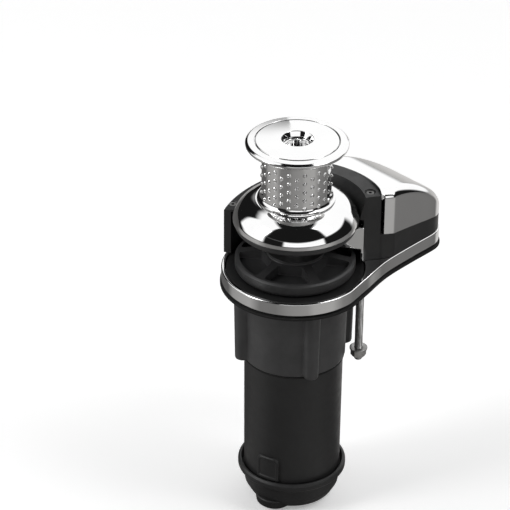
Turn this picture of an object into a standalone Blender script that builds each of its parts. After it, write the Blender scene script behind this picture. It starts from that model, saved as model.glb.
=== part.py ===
"""Vertical anchor windlass: capstan drum above a rope and chain gypsy on a deck plate, with its planetary gearbox and motor hanging below the deck.
Metres, +Z up. The origin is on the shaft axis in the plane of the deck, -Y points to the bow, +X to starboard."""

import math

import bmesh
import bpy
from mathutils import Matrix, Vector

MM = 0.001

# ---- driving dimensions, millimetres ----
GAP = 0.3
FIT = 0.08
LOOSE = 0.10
ROUND = 40
DEEP = 36
MID = 40
SMALL = 20
TINY = 12

PLATE_R = 69.0
PLATE_BOTTOM = 2.3
PLATE_TOP = 17.0
LEDGE_TOP = 9.0
RECESS_R = 65.0
GASKET_T = 2.0
PLATE_BORE_R = 50.6
CHAIN_HOLE = (97.0, 66.0)
CHAIN_HOLE_R = 20.0

SHAFT_R = 10.0
SHAFT_TOP = 136.0
SHAFT_BOTTOM = -23.0

GYPSY_R = 56.3
GYPSY_RIBS = 6
GYPSY_RIB_PHASE = -9.0
DOME_R = 58.4
DRUM_R = 32.2
DRUM_FLANGE_R = 47.6
DRUM_FOOT = 90.1
DRUM_TOP = 150.2
CAP_R = 38.8
PIP_COLUMNS = 28
PIP_ROWS = 5
PIP_PITCH = 8.6
PIP_TURN = -3.6
PIP_R = 1.75

GUARD_LIP_R = 59.8
GUARD_R = 80.0
GUARD_THIN_R = 70.6
GUARD_TOP = 85.0
GUARD_START = 9.3
GUARD_END = 161.0
HOOD_LINE = 40.0
HOOD_CREST = 66.0
HOOD_TOP = 87.3
HOOD_R = 121.0
HOOD_TILT = 0.045
BAND_Z = 43.0
BAND_FALL = 0.125

ARM_PIVOT = (84.0, 39.0)
ARM_TIP = (41.0, 28.0)

HOUSING_R = 50.0
HOUSING_FOOT_R = 48.9
HOUSING_BOTTOM = -76.0
LUG_ANGLES = (-72.0, 18.0, 108.0, 198.0)
STUD_SPOTS = ((5.0, 62.0), (75.0, 60.0), (140.0, 60.0))
STUD_R = 4.0
STUD_BOTTOM = -89.0

MODULE = 2.3
SUN_TEETH = 9
PLANET_TEETH = 12
RING_TEETH = 33
GEAR_W = 12.0
CENTRES = MODULE * (SUN_TEETH + PLANET_TEETH) / 2
PIN_R = 5.0

TUBE_R = 46.3
TUBE_TOP = -78.4
TUBE_BOTTOM = -203.7
CAP_RIM_R = 52.2
CAP_BOTTOM = -231.0

for old in list(bpy.data.objects):
    bpy.data.objects.remove(old, do_unlink=True)

scene = bpy.context.scene
parts = bpy.data.collections.new("anchor_windlass")
scene.collection.children.link(parts)
cutters = bpy.data.collections.new("cutters")
scene.collection.children.link(cutters)
cutters.hide_render = True


# ---- helpers ----
def material(name, colour, metallic, roughness):
    mat = bpy.data.materials.new(name)
    mat.use_nodes = True
    node = mat.node_tree.nodes["Principled BSDF"]
    node.inputs["Base Color"].default_value = (*colour, 1.0)
    node.inputs["Metallic"].default_value = metallic
    node.inputs["Roughness"].default_value = roughness
    mat.diffuse_color = (*colour, 1.0)
    return mat


LOOKS = {
    "chrome": ((0.80, 0.80, 0.80), 1.0, 0.06),
    "steel": ((0.60, 0.60, 0.61), 1.0, 0.30),
    "black_paint": ((0.030, 0.030, 0.032), 0.0, 0.42),
    "black_plastic": ((0.022, 0.022, 0.024), 0.0, 0.50),
    "rubber": ((0.015, 0.015, 0.015), 0.0, 0.75),
    "brass": ((0.62, 0.46, 0.20), 1.0, 0.35),
    "copper": ((0.72, 0.36, 0.20), 1.0, 0.38),
    "nylon": ((0.62, 0.60, 0.54), 0.0, 0.50),
    "magnet": ((0.10, 0.10, 0.11), 0.6, 0.50),
}


def add(name, mesh, look=None, smooth=True):
    obj = bpy.data.objects.new(name, mesh)
    if look:
        mesh.materials.clear()
        mesh.materials.append(material("mat_" + name, *LOOKS[look]))
        parts.objects.link(obj)
    else:
        cutters.objects.link(obj)
        obj.display_type = "WIRE"
        obj.hide_render = True
    if smooth:
        mesh.shade_smooth()
        mesh.set_sharp_from_angle(angle=math.radians(32))
    return obj


def lathe(name, profile, segments, look=None, closed=True, centre=(0.0, 0.0)):
    """A turned piece: the (r, z) profile runs down the outer side, top to bottom."""
    mesh = bpy.data.meshes.new(name)
    bm = bmesh.new()
    verts = [bm.verts.new((r * MM, 0.0, z * MM)) for r, z in profile]
    for a, b in zip(verts, verts[1:]):
        bm.edges.new((a, b))
    if closed:
        bm.edges.new((verts[-1], verts[0]))
    bm.to_mesh(mesh)
    bm.free()
    obj = add(name, mesh, look)
    screw = obj.modifiers.new("turn", "SCREW")
    screw.axis = "Z"
    screw.angle = 2 * math.pi
    screw.steps = segments
    screw.render_steps = segments
    screw.use_merge_vertices = True
    screw.merge_threshold = 0.0001
    screw.use_smooth_shade = True
    obj.location = (centre[0] * MM, centre[1] * MM, 0.0)
    return obj


def solid_lathe(name, profile, segments, look=None, centre=(0.0, 0.0)):
    return lathe(name, profile, segments, look, closed=False, centre=centre)


def outline_mesh(name, loops, z0, z1):
    """A flat outline, with any holes, thickened from z0 to z1."""
    curve = bpy.data.curves.new(name, "CURVE")
    curve.dimensions = "2D"
    curve.fill_mode = "BOTH"
    curve.resolution_u = 1
    curve.render_resolution_u = 0
    curve.extrude = (z1 - z0) / 2 * MM
    for loop in loops:
        spline = curve.splines.new("POLY")
        spline.points.add(len(loop) - 1)
        for point, (x, y) in zip(spline.points, loop):
            point.co = (x * MM, y * MM, 0.0, 1.0)
        spline.use_cyclic_u = True
    holder = bpy.data.objects.new(name + "_outline", curve)
    scene.collection.objects.link(holder)
    bpy.context.view_layer.update()
    mesh = bpy.data.meshes.new_from_object(
        holder.evaluated_get(bpy.context.evaluated_depsgraph_get())
    )
    bpy.data.objects.remove(holder, do_unlink=True)
    bm = bmesh.new()
    bm.from_mesh(mesh)
    bmesh.ops.remove_doubles(bm, verts=bm.verts, dist=0.000002)
    bmesh.ops.translate(bm, verts=bm.verts, vec=(0, 0, (z0 + z1) / 2 * MM))
    bmesh.ops.recalc_face_normals(bm, faces=bm.faces)
    bm.to_mesh(mesh)
    bm.free()
    mesh.name = name
    return mesh


def slab(name, loops, z0, z1, look=None):
    return add(name, outline_mesh(name, loops, z0, z1), look)


def joined(name, meshes_and_moves, look=None):
    """One mesh made of separate closed solids, for a cutter that cuts in several places."""
    bm = bmesh.new()
    for mesh, move in meshes_and_moves:
        start = len(bm.verts)
        bm.from_mesh(mesh)
        bm.verts.ensure_lookup_table()
        bmesh.ops.transform(bm, matrix=move, verts=bm.verts[start:])
    mesh = bpy.data.meshes.new(name)
    bm.to_mesh(mesh)
    bm.free()
    return add(name, mesh, look)


def block(name, x0, x1, y0, y1, z0, z1, look=None):
    mesh = bpy.data.meshes.new(name)
    bm = bmesh.new()
    bmesh.ops.create_cube(bm, size=1.0)
    bmesh.ops.scale(bm, vec=((x1 - x0) * MM, (y1 - y0) * MM, (z1 - z0) * MM), verts=bm.verts)
    bmesh.ops.translate(
        bm, vec=((x0 + x1) / 2 * MM, (y0 + y1) / 2 * MM, (z0 + z1) / 2 * MM), verts=bm.verts
    )
    bm.to_mesh(mesh)
    bm.free()
    return add(name, mesh, look, smooth=False)


def cone_mesh(segments, r_bottom, r_top, z0, z1):
    mesh = bpy.data.meshes.new("cone")
    bm = bmesh.new()
    bmesh.ops.create_cone(
        bm, cap_ends=True, segments=segments, radius1=r_bottom * MM, radius2=r_top * MM, depth=(z1 - z0) * MM
    )
    bmesh.ops.translate(bm, verts=bm.verts, vec=(0, 0, (z0 + z1) / 2 * MM))
    bm.to_mesh(mesh)
    bm.free()
    return mesh


def rod(name, r, z0, z1, segments, look=None, centre=(0.0, 0.0)):
    mesh = cone_mesh(segments, r, r, z0, z1)
    mesh.name = name
    obj = add(name, mesh, look)
    obj.location = (centre[0] * MM, centre[1] * MM, 0.0)
    return obj


def boolean(obj, other, operation):
    mod = obj.modifiers.new(operation.lower(), "BOOLEAN")
    mod.object = other
    mod.operation = operation
    mod.solver = "EXACT"
    return mod


def cut(obj, other):
    return boolean(obj, other, "DIFFERENCE")


def bevel(obj, width, segments=1, angle=35):
    mod = obj.modifiers.new("edge", "BEVEL")
    mod.width = width * MM
    mod.segments = segments
    mod.limit_method = "ANGLE"
    mod.angle_limit = math.radians(angle)
    return mod


def polar(r, degrees):
    return (r * math.cos(math.radians(degrees)), r * math.sin(math.radians(degrees)))


def ring(r, segments, phase=0.0, centre=(0.0, 0.0)):
    return [
        (centre[0] + r * math.cos(2 * math.pi * i / segments + phase), centre[1] + r * math.sin(2 * math.pi * i / segments + phase))
        for i in range(segments)
    ]


def arc(r, a0, a1, steps):
    return [polar(r, a0 + (a1 - a0) * i / steps) for i in range(steps + 1)]


def smooth_through(points, steps):
    """Catmull-Rom points from the second to the last but one of those given."""
    out = []
    for i in range(1, len(points) - 2):
        p0, p1, p2, p3 = (Vector(p) for p in points[i - 1 : i + 3])
        for k in range(steps):
            t = k / steps
            v = 0.5 * (2 * p1 + (p2 - p0) * t + (2 * p0 - 5 * p1 + 4 * p2 - p3) * t**2 + (3 * p1 - p0 - 3 * p2 + p3) * t**3)
            out.append((v.x, v.y))
    out.append(tuple(points[-2]))
    return out


def offset(points, distance):
    """A closed outline that runs anticlockwise, moved outward by the distance."""
    out = []
    n = len(points)
    for i in range(n):
        a, b, c = Vector(points[i - 1]), Vector(points[i]), Vector(points[(i + 1) % n])
        d0, d1 = (b - a).normalized(), (c - b).normalized()
        n0, n1 = Vector((d0.y, -d0.x)), Vector((d1.y, -d1.x))
        m = (n0 + n1).normalized()
        out.append(tuple(b + m * (distance / max(0.5, m.dot(n0)))))
    return out


def gear_outline(teeth, module, add_h, ded_h, slack, phase=0.0, inner=False):
    """Tooth outline with a flank from root to tip along the involute; inner makes the teeth of a ring gear."""
    pitch_r = module * teeth / 2
    pressure = math.radians(25)
    base_r = pitch_r * math.cos(pressure)
    inv0 = math.tan(pressure) - pressure
    half = math.pi / (2 * teeth) - slack / pitch_r / 2
    if inner:
        half = math.pi / (2 * teeth) + slack / pitch_r / 2

    def half_angle(r):
        if r <= base_r:
            return half + inv0
        a = math.acos(base_r / r)
        return half + inv0 - (math.tan(a) - a)

    if inner:
        radii = [pitch_r - add_h * module, pitch_r + ded_h * module]
    else:
        radii = [pitch_r - ded_h * module, pitch_r + add_h * module]
    pts = []
    for i in range(teeth):
        mid = 2 * math.pi * i / teeth + phase
        for r in radii:
            pts.append((r, mid - half_angle(r)))
        for r in reversed(radii):
            pts.append((r, mid + half_angle(r)))
    return [(r * math.cos(a), r * math.sin(a)) for r, a in pts]


# ---- deck plate family ----
ROUND_END = arc(PLATE_R, 112, 318, 28)
TAIL_GUIDE = [
    polar(PLATE_R, 312), polar(PLATE_R, 318), (60.5, -31.5), (68.0, -19.8), (75.3, -7.5), (83.0, 4.5), (92.0, 16.0),
    (103.5, 28.8), (117.0, 43.4), (129.5, 56.5), (135.6, 64.5), (138.3, 74.0), (136.5, 86.0), (129.0, 98.5),
    (117.0, 107.5), (100.0, 112.5), (80.0, 113.5), (58.0, 110.0), (36.0, 101.0), (14.0, 88.5), (-6.0, 75.5), polar(PLATE_R, 112), polar(PLATE_R, 118),
]
TAIL = smooth_through(TAIL_GUIDE, 2)
PLATE_OUTLINE = ROUND_END[:-1] + TAIL[:-1]


def inside_guard(points, r):
    return [p for p in points if math.hypot(*p) > r]


gasket = slab(
    "deck_gasket",
    [offset(PLATE_OUTLINE, 1.3), ring(PLATE_BORE_R, DEEP), ring(CHAIN_HOLE_R + 0.5, SMALL, centre=CHAIN_HOLE)]
    + [ring(STUD_R + 0.6, TINY, centre=polar(r, a)) for a, r in STUD_SPOTS],
    0.0, GASKET_T, "rubber",
)

deck_plate = slab("deck_plate", [PLATE_OUTLINE], PLATE_BOTTOM, PLATE_TOP, "chrome")
bevel(deck_plate, 0.9, 1, 50)
recess = solid_lathe(
    "cut_plate_recess",
    [(0.0, 30.0), (RECESS_R, 30.0), (RECESS_R, LEDGE_TOP), (PLATE_BORE_R, LEDGE_TOP), (PLATE_BORE_R, -5.0), (0.0, -5.0)],
    ROUND,
)
cut(deck_plate, recess)
plate_holes = joined(
    "cut_plate_holes",
    [(cone_mesh(SMALL, CHAIN_HOLE_R, CHAIN_HOLE_R, -5.0, 30.0), Matrix.Translation((CHAIN_HOLE[0] * MM, CHAIN_HOLE[1] * MM, 0.0)))]
    + [
        (cone_mesh(TINY, STUD_R + 0.2, STUD_R + 0.2, -5.0, 8.7), Matrix.Translation((*[c * MM for c in polar(r, a)], 0.0)))
        for a, r in STUD_SPOTS
    ],
)
cut(deck_plate, plate_holes)

base_ring = lathe(
    "base_ring",
    [(64.6, 15.6), (64.6, 9.3), (15.2, 9.3), (15.2, 14.6), (52.0, 14.6), (54.0, 15.6)],
    ROUND, "black_paint",
)
pipe = lathe(
    "chain_pipe_liner",
    [(23.4, 19.0), (23.4, 17.3), (19.6, 17.3), (19.6, -6.0), (17.6, -6.0), (17.6, 19.0)],
    SMALL, "black_plastic", centre=CHAIN_HOLE,
)

# ---- studs, washers and nuts that clamp the deck ----
for i, (a, r) in enumerate(STUD_SPOTS, 1):
    at = polar(r, a)
    stud = solid_lathe(
        f"stud_{i}",
        [(0.0, 8.4), (STUD_R, 8.4), (STUD_R, STUD_BOTTOM + 1.0), (3.2, STUD_BOTTOM), (0.0, STUD_BOTTOM)],
        TINY, "steel", centre=at,
    )
    lathe(f"washer_{i}", [(8.6, -76.0), (8.6, -77.8), (STUD_R + 0.2, -77.8), (STUD_R + 0.2, -76.0)], TINY, "steel", centre=at)
    nut = slab(f"nut_{i}", [ring(7.5, 6), ring(STUD_R + 0.2, TINY)], -84.6, -78.1, "steel")
    nut.location = (at[0] * MM, at[1] * MM, 0.0)

# ---- guard and hood ----


def guard_outer(degrees):
    if degrees <= 70:
        return GUARD_R
    if degrees >= 112:
        return GUARD_THIN_R
    t = (degrees - 70) / 42
    t = t * t * (3 - 2 * t)
    return GUARD_R + (GUARD_THIN_R - GUARD_R) * t


steps = 26
guard_out = [polar(guard_outer(a), a) for a in [GUARD_START + (GUARD_END - GUARD_START) * i / steps for i in range(steps + 1)]]
guard_in = [polar(57.0, a) for a in [GUARD_START - 7.0 + (GUARD_END - GUARD_START + 7.0) * i / steps for i in range(steps + 1)]]
guard_outline = guard_out + list(reversed(guard_in)) + [polar(67.5, GUARD_START - 0.6)]

TAIL_FAR = [p for p in TAIL if math.hypot(*p) > GUARD_R + 4.0]
HOOD_EDGE = offset(PLATE_OUTLINE, -1.1)
hood_far = [p for p in HOOD_EDGE if math.hypot(*p) > GUARD_R + 3.0]
# the run of the tail edge that lies outside the guard, from starboard round to port
hood_near = (GUARD_R + 3.9) * math.cos(math.radians(GUARD_START)), (GUARD_R + 3.9) * math.sin(math.radians(GUARD_START))
hood_far = [p for p in hood_far if math.atan2(p[1], p[0]) > math.radians(GUARD_START + 1.5)]

band_outline = [polar(66.0, 12.0), polar(GUARD_R + 3.6, GUARD_START + 0.2)] + hood_far + [polar(GUARD_R - 6.0, 88.0), polar(66.0, 80.0)]

housing = slab("guard_housing", [guard_outline], PLATE_TOP + GAP, GUARD_TOP, "black_paint")
left_fall = block("cut_guard_left_fall", -110, 0.0, -60, 140, 0.0, 60.0)
left_fall.location = (20.0 * MM, 0.0, 85.2 * MM)
left_fall.rotation_euler = (0.0, -math.radians(14.6), 0.0)
cut(housing, left_fall)
screw_spots = (polar(71.8, 16.8), polar(66.2, 152.0))
screw_z = (GUARD_TOP, 65.6)
for (x, y), z in zip(screw_spots, screw_z):
    sink = solid_lathe(
        "cut_screw_hole", [(0.0, 3.0), (5.4, 3.0), (5.4, 0.4), (2.7, -3.4), (2.7, -16.0), (0.0, -16.0)], TINY, centre=(x, y)
    )
    sink.location.z = z * MM
    cut(housing, sink)
band = slab("cut_band", [band_outline], PLATE_TOP + GAP, 60.0)
band_top = block("cut_band_top", -150, 150, -150, 150, 0.0, 60.0)
direction = math.radians(45.0)
band_top.matrix_world = (
    Matrix.Translation((84.2 * MM, 13.9 * MM, BAND_Z * MM))
    @ Matrix.Rotation(direction, 4, "Z")
    @ Matrix.Rotation(math.atan(BAND_FALL), 4, "Y")
)
cut(band, band_top)
boolean(housing, band, "UNION")
# hollow of the tail, open below and above, where the chain falls to the pipe
tail_hollow = slab(
    "cut_tail_hollow", [offset([polar(76.0, 20.0)] + [p for p in offset(hood_far, 0.0)][1:-1] + [polar(74.0, 76.0)], -4.5)], 10.0, 70.0
)
cut(housing, tail_hollow)
channel = solid_lathe(
    "cut_chain_channel",
    [(0.0, 95.0), (68.2, 95.0), (65.0, 85.0), (GUARD_LIP_R, 67.0), (GUARD_LIP_R, 64.0), (63.6, 62.0), (63.6, 10.0), (0.0, 10.0)],
    ROUND,
)
window = slab("cut_chain_window", [[polar(56, 20), polar(82, 19), polar(82, 59), polar(56, 61)]], 19.4, 60.4)
cut(housing, window)
cut(housing, channel)
for name, (x, y), z in zip(("housing_screw_right", "housing_screw_left"), screw_spots, screw_z):
    screw_obj = solid_lathe(
        name,
        [(0.0, -1.0), (4.1, -1.0), (2.3, -3.0), (2.3, -14.0), (0.0, -14.0)],
        TINY, "steel",
    )
    screw_obj.location = (x * MM, y * MM, z * MM)
    socket = slab("cut_" + name, [ring(1.7, 6)], -3.0, 1.0)
    socket.location = (x * MM, y * MM, z * MM)
    cut(screw_obj, socket)

# hood: the tail outline under a long arch, hollow below, its lower rim falling toward the tail
hood_outline = [polar(GUARD_R + GAP + 3.3, GUARD_START + 0.25)] + hood_far
back_arc = arc(GUARD_R + GAP, 80.0, GUARD_START + 0.3, 12)
hood_outline = hood_outline + back_arc
hood = slab("chain_hood", [hood_outline], 25.0, 110.0, "chrome")


def arch(name, r):
    """A large drum on its side, whose crown is the top of the hood."""
    obj = add(name, cone_mesh(96, r, r, -170.0, 170.0))
    along = Vector((math.cos(math.radians(HOOD_LINE)), math.sin(math.radians(HOOD_LINE)), 0.0))
    across = Vector((-along.y, along.x, -HOOD_TILT)).normalized()
    centre = along * HOOD_CREST - Vector((-along.y, along.x, 0.0)) * 10.0
    obj.matrix_world = (
        Matrix.Translation((centre.x * MM, centre.y * MM, (HOOD_TOP - HOOD_R) * MM)) @ across.to_track_quat("Z", "X").to_matrix().to_4x4()
    )
    return obj


hood_arch = arch("cut_hood_arch", HOOD_R)
boolean(hood, hood_arch, "INTERSECT")
bevel(hood, 6.5, 2, 40)
inner = slab(
    "cut_hood_inner",
    [offset([polar(GUARD_R - 6.0, 15.0)] + hood_far[1:-1] + [polar(GUARD_R - 6.0, 76.0)], -4.0)],
    10.0, 110.0,
)
inner_arch = arch("cut_hood_inner_arch", HOOD_R - 5.0)
boolean(inner, inner_arch, "INTERSECT")
cut(hood, inner)
rim = block("cut_hood_rim", -150, 150, -150, 150, -60.0, GAP)
rim.matrix_world = band_top.matrix_world.copy()
cut(hood, rim)

# chain stripper: a polished finger from the right leg into the gypsy groove
stripper = slab(
    "chain_stripper",
    [[(63.3, 57.0), (63.3, 21.0), (60.6, 21.0), (60.6, 34.0), (58.0, 34.0), (33.5, 38.5), (33.5, 44.5), (57.6, 56.5)]],
    -3.0, 3.0, "chrome",
)
stripper.matrix_world = Matrix.Rotation(math.radians(4.5), 4, "Z") @ Matrix.Rotation(math.radians(90), 4, "X")

# sprung arm that keeps rope or chain in the groove
pin = solid_lathe(
    "arm_pin",
    [(0.0, 52.0), (3.0, 52.0), (3.0, 20.2), (5.0, 20.2), (5.0, PLATE_TOP + GAP), (0.0, PLATE_TOP + GAP)],
    SMALL, "steel", centre=ARM_PIVOT,
)
arm_reach = (ARM_TIP[0] - ARM_PIVOT[0], ARM_TIP[1] - ARM_PIVOT[1])
arm_length = math.hypot(*arm_reach)
arm = slab(
    "pressure_arm",
    [
        arc(5.8, 35.0, 325.0, 10) + [(10.0, -2.6), (arm_length - 6.0, -2.2), (arm_length - 1.0, -3.4), (arm_length + 1.0, -1.6), (arm_length + 1.0, 1.8), (arm_length - 3.0, 3.2), (10.0, 3.0)],
        ring(3.0 + LOOSE, SMALL),
    ],
    38.0, 43.6, "steel",
)
arm.location = (ARM_PIVOT[0] * MM, ARM_PIVOT[1] * MM, 0.0)
arm.rotation_euler = (0.0, 0.0, math.atan2(arm_reach[1], arm_reach[0]))

# ---- turning stack above deck ----
shaft = solid_lathe(
    "main_shaft",
    [(0.0, SHAFT_TOP), (SHAFT_R, SHAFT_TOP), (SHAFT_R, 17.2), (14.4, 17.2), (14.4, 10.6), (SHAFT_R, 10.6),
     (SHAFT_R, SHAFT_BOTTOM), (0.0, SHAFT_BOTTOM)],
    MID, "steel",
)
key_slot = block("cut_key_slot", 7.9, 12.6, -2.5, 2.5, 18.5, 120.3)
cut(shaft, key_slot)
block("shaft_key", 8.2, 12.3, -2.3, 2.3, 18.8, 120.0, "steel")

lower_cone = lathe(
    "lower_clutch_cone",
    [(20.2, 29.2), (26.0, 17.6), (SHAFT_R + FIT, 17.6), (SHAFT_R + FIT, 29.2)],
    MID, "brass",
)
cut(lower_cone, key_slot)

gypsy_lower = lathe(
    "gypsy_lower",
    [(27.0, 33.4), (54.2, 28.4), (GYPSY_R, 27.0), (GYPSY_R, 19.6), (54.8, 17.0), (26.6, 17.0), (20.6, 29.6), (13.2, 29.6), (13.2, 36.0), (27.0, 36.0)],
    ROUND, "black_paint",
)
gypsy_upper = lathe(
    "gypsy_upper",
    [(55.0, 65.9), (56.0, 64.9), (56.0, 61.4), (54.2, 59.6), (27.0, 49.0), (27.0, 46.4), (13.2, 46.4), (13.2, 52.0), (20.7, 52.0), (26.7, 65.9)],
    32, "black_paint",
)


def pocket(r0, r1, rib, degrees):
    """The space between two ribs, from r0 out to r1."""
    open0, open1 = (30.0 - math.degrees(math.asin(rib / r)) for r in (r0, r1))
    return [polar(r0, degrees - open0), polar(r1, degrees - open1), polar(r1, degrees - open1 / 3), polar(r1, degrees + open1 / 3), polar(r1, degrees + open1), polar(r0, degrees + open0)]


spots = [GYPSY_RIB_PHASE + 30 + 60 * i for i in range(GYPSY_RIBS)]
low_pockets = joined(
    "cut_low_pockets", [(outline_mesh("pocket", [pocket(30.5, 52.2, 4.2, a)], 23.0, 40.0), Matrix.Identity(4)) for a in spots]
)
cut(gypsy_lower, low_pockets)
high_pockets = joined(
    "cut_high_pockets", [(outline_mesh("pocket", [pocket(30.5, 52.2, 4.2, a)], 44.0, 60.5), Matrix.Identity(4)) for a in spots]
)
cut(gypsy_upper, high_pockets)

teeth_outline = []
for i in range(18):
    a = 20.0 * i + GYPSY_RIB_PHASE
    teeth_outline += [polar(30.2, a), polar(25.4, a + 7.0), polar(25.8, a + 13.0)]
slab("rope_grip_ring", [teeth_outline, ring(13.2, MID)], 36.3, 46.1, "chrome")

dome = lathe(
    "clutch_dome",
    [(37.8, 89.8), (39.2, 89.4), (43.4, 87.7), (49.2, 84.0), (54.2, 78.6), (57.4, 72.6), (DOME_R, 70.2), (DOME_R, 67.2),
     (55.6, 66.6), (50.4, 77.0), (31.0, 85.4), (31.0, 66.6), (26.2, 66.2), (20.2, 52.4), (SHAFT_R + FIT, 52.4),
     (SHAFT_R + FIT, 89.8)],
    ROUND, "chrome",
)
cut(dome, key_slot)

drum = lathe(
    "capstan_drum",
    [(39.2, DRUM_TOP), (45.6, 149.7), (DRUM_FLANGE_R, 147.6), (46.8, 145.2), (37.6, 142.8), (33.6, 139.5),
     (DRUM_R, 134.0), (DRUM_R, 97.5), (32.9, 94.2), (34.4, 91.9), (36.4, 90.8), (36.4, DRUM_FOOT), (28.6, DRUM_FOOT), (22.0, 134.0),
     (14.6, DRUM_FOOT), (SHAFT_R + FIT, DRUM_FOOT), (SHAFT_R + FIT, 128.3), (16.0, 128.3), (16.0, 145.9), (39.2, 145.9)],
    2 * PIP_COLUMNS, "chrome",
)
drum.rotation_euler.z = math.radians(PIP_TURN)
cut(drum, key_slot)
pip = cone_mesh(4, PIP_R, 0.8, -0.5, 1.15)
pip_moves = []
for column in range(PIP_COLUMNS):
    a = 360.0 / PIP_COLUMNS * (column + 0.25) + PIP_TURN
    for row in range(PIP_ROWS - (column % 2)):
        z = 95.8 + PIP_PITCH * (row + 0.5 * (column % 2))
        x, y = polar(DRUM_R - 0.05 + (0.4 if z < 97 else 0.0), a)
        pip_moves.append(
            (pip, Matrix.Translation((x * MM, y * MM, z * MM)) @ Matrix.Rotation(math.radians(a), 4, "Z") @ Matrix.Rotation(math.radians(90), 4, "Y"))
        )
pips = joined("cut_pips", pip_moves)
boolean(drum, pips, "UNION")

cap = lathe(
    "drum_cap",
    [(14.8, 151.7), (20.0, 151.5), (30.0, 150.9), (38.3, 150.2), (CAP_R, 149.8), (CAP_R, 146.2), (12.6, 146.2)],
    ROUND, "chrome",
)

nut = solid_lathe(
    "clutch_nut",
    [(0.0, 145.6), (15.2, 145.6), (15.7, 145.1), (15.7, 128.6), (SHAFT_R + FIT, 128.6), (SHAFT_R + FIT, 137.2), (0.0, 137.2)],
    MID, "chrome",
)
star = []
for i in range(16):
    star.append(polar(11.4 if i % 2 == 0 else 8.8, 22.5 * i))
star_cut = slab("cut_star_socket", [star], 139.0, 150.0)
cut(nut, star_cut)

# ---- below deck ----
housing_low = lathe(
    "gearbox_housing",
    [(HOUSING_R, 8.7), (HOUSING_R, -1.0), (HOUSING_FOOT_R, HOUSING_BOTTOM + 1.0), (HOUSING_FOOT_R - 1.0, HOUSING_BOTTOM), (45.3, HOUSING_BOTTOM),
     (45.3, -6.0), (16.15, -6.0), (16.15, 8.7)],
    DEEP, "black_paint",
)
lug = cone_mesh(14, 6.8, 8.2, HOUSING_BOTTOM + 0.4, -1.0)
lug_moves = [
    (lug, Matrix.Translation((*[c * MM for c in polar(51.2, a)], 0.0)) @ Matrix.Rotation(math.radians(a), 4, "Z")) for a in LUG_ANGLES
]
lugs = joined("cut_lugs", lug_moves)
boolean(housing_low, lugs, "UNION")
# keep the gear cavity clear of the lugs
clear = rod("cut_gear_cavity", 45.3, HOUSING_BOTTOM - 5.0, -6.0, DEEP)
cut(housing_low, clear)

lathe("upper_bearing", [(16.0, 1.9), (16.0, -5.8), (SHAFT_R + FIT, -5.8), (SHAFT_R + FIT, 1.9)], MID, "brass")
lathe("shaft_seal", [(16.0, 8.5), (16.0, 2.2), (SHAFT_R + FIT, 2.2), (SHAFT_R + FIT, 8.5)], MID, "rubber")

ring_out = ring(45.0, DEEP)
ring_phase = math.pi / RING_TEETH
ring_gear = slab(
    "ring_gear", [ring_out, gear_outline(RING_TEETH, MODULE, 0.78, 1.0, 0.30, phase=0.0, inner=True)], -60.2, -22.4, "steel"
)


def pins(name, z0, z1):
    return joined(
        name,
        [(cone_mesh(SMALL, PIN_R, PIN_R, z0, z1), Matrix.Translation((*[c * MM for c in polar(CENTRES, 120 * i)], 0.0))) for i in range(3)],
    )


carrier_2 = lathe(
    "carrier_output",
    [(14.4, -6.3), (14.4, -14.0), (34.0, -14.0), (34.0, -22.0), (SHAFT_R + FIT, -22.0), (SHAFT_R + FIT, -6.3)],
    MID, "steel",
)
boolean(carrier_2, pins("cut_pins_2", -37.4, -18.0), "UNION")

# the second sun is one piece with the first carrier
carrier_1 = rod("carrier_first", 34.0, -44.0, -38.6, MID, "steel")
sun_2 = slab("cut_sun_2", [gear_outline(SUN_TEETH, MODULE, 0.78, 1.0, 0.30, phase=math.pi / SUN_TEETH)], -42.0, -23.8)
boolean(carrier_1, sun_2, "UNION")
boolean(carrier_1, pins("cut_pins_1", -59.2, -42.0), "UNION")

armature_shaft = slab(
    "armature_shaft", [gear_outline(SUN_TEETH, MODULE, 0.78, 1.0, 0.30, phase=math.pi / SUN_TEETH)], -58.6, -45.0, "steel"
)
spindle = rod("cut_spindle", 6.0, -214.0, -56.0, SMALL)
boolean(armature_shaft, spindle, "UNION")

# planet teeth face the sun and the ring so that all three are in mesh at rest
for stage, z0, z1 in (("a", -58.0, -46.0), ("b", -36.4, -24.4)):
    for i in range(3):
        a = math.radians(120 * i)
        # a tooth gap of the planet faces the sun tooth that points along the line of centres
        sun_tooth = math.pi / SUN_TEETH
        steps_to_line = (a - sun_tooth) / (2 * math.pi / SUN_TEETH)
        beyond = steps_to_line - math.floor(steps_to_line)
        phase = a + math.pi + math.pi / PLANET_TEETH + beyond * 2 * math.pi / PLANET_TEETH
        planet = slab(
            f"planet_{stage}{i + 1}",
            [gear_outline(PLANET_TEETH, MODULE, 0.78, 1.0, 0.30, phase=phase), ring(PIN_R + LOOSE, SMALL)],
            z0, z1, "steel",
        )
        x, y = polar(CENTRES, 120 * i)
        planet.location = (x * MM, y * MM, 0.0)

lathe("motor_flange", [(45.0, -62.6), (45.0, -75.4), (11.1, -75.4), (11.1, -67.0), (8.0, -67.0), (8.0, -62.6)], MID, "steel")
lathe("motor_top_bearing", [(11.0, -67.3), (11.0, -75.2), (6.1, -75.2), (6.1, -67.3)], SMALL, "steel")
lathe("motor_gasket", [(HOUSING_FOOT_R - 0.6, -76.3), (HOUSING_FOOT_R - 0.6, -78.1), (40.0, -78.1), (40.0, -76.3)], DEEP, "rubber")
tube = lathe(
    "motor_tube",
    [(TUBE_R + 0.6, TUBE_TOP), (TUBE_R, TUBE_BOTTOM), (43.0, TUBE_BOTTOM), (43.0, TUBE_TOP)],
    DEEP, "black_paint",
)
pad = slab("terminal_cover", [arc(48.9, -134.5, -105.5, 6) + arc(TUBE_R + 0.7, -105.5, -134.5, 6)], -197.6, -172.5, "black_plastic")
bevel(pad, 0.7, 1, 50)

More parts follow.
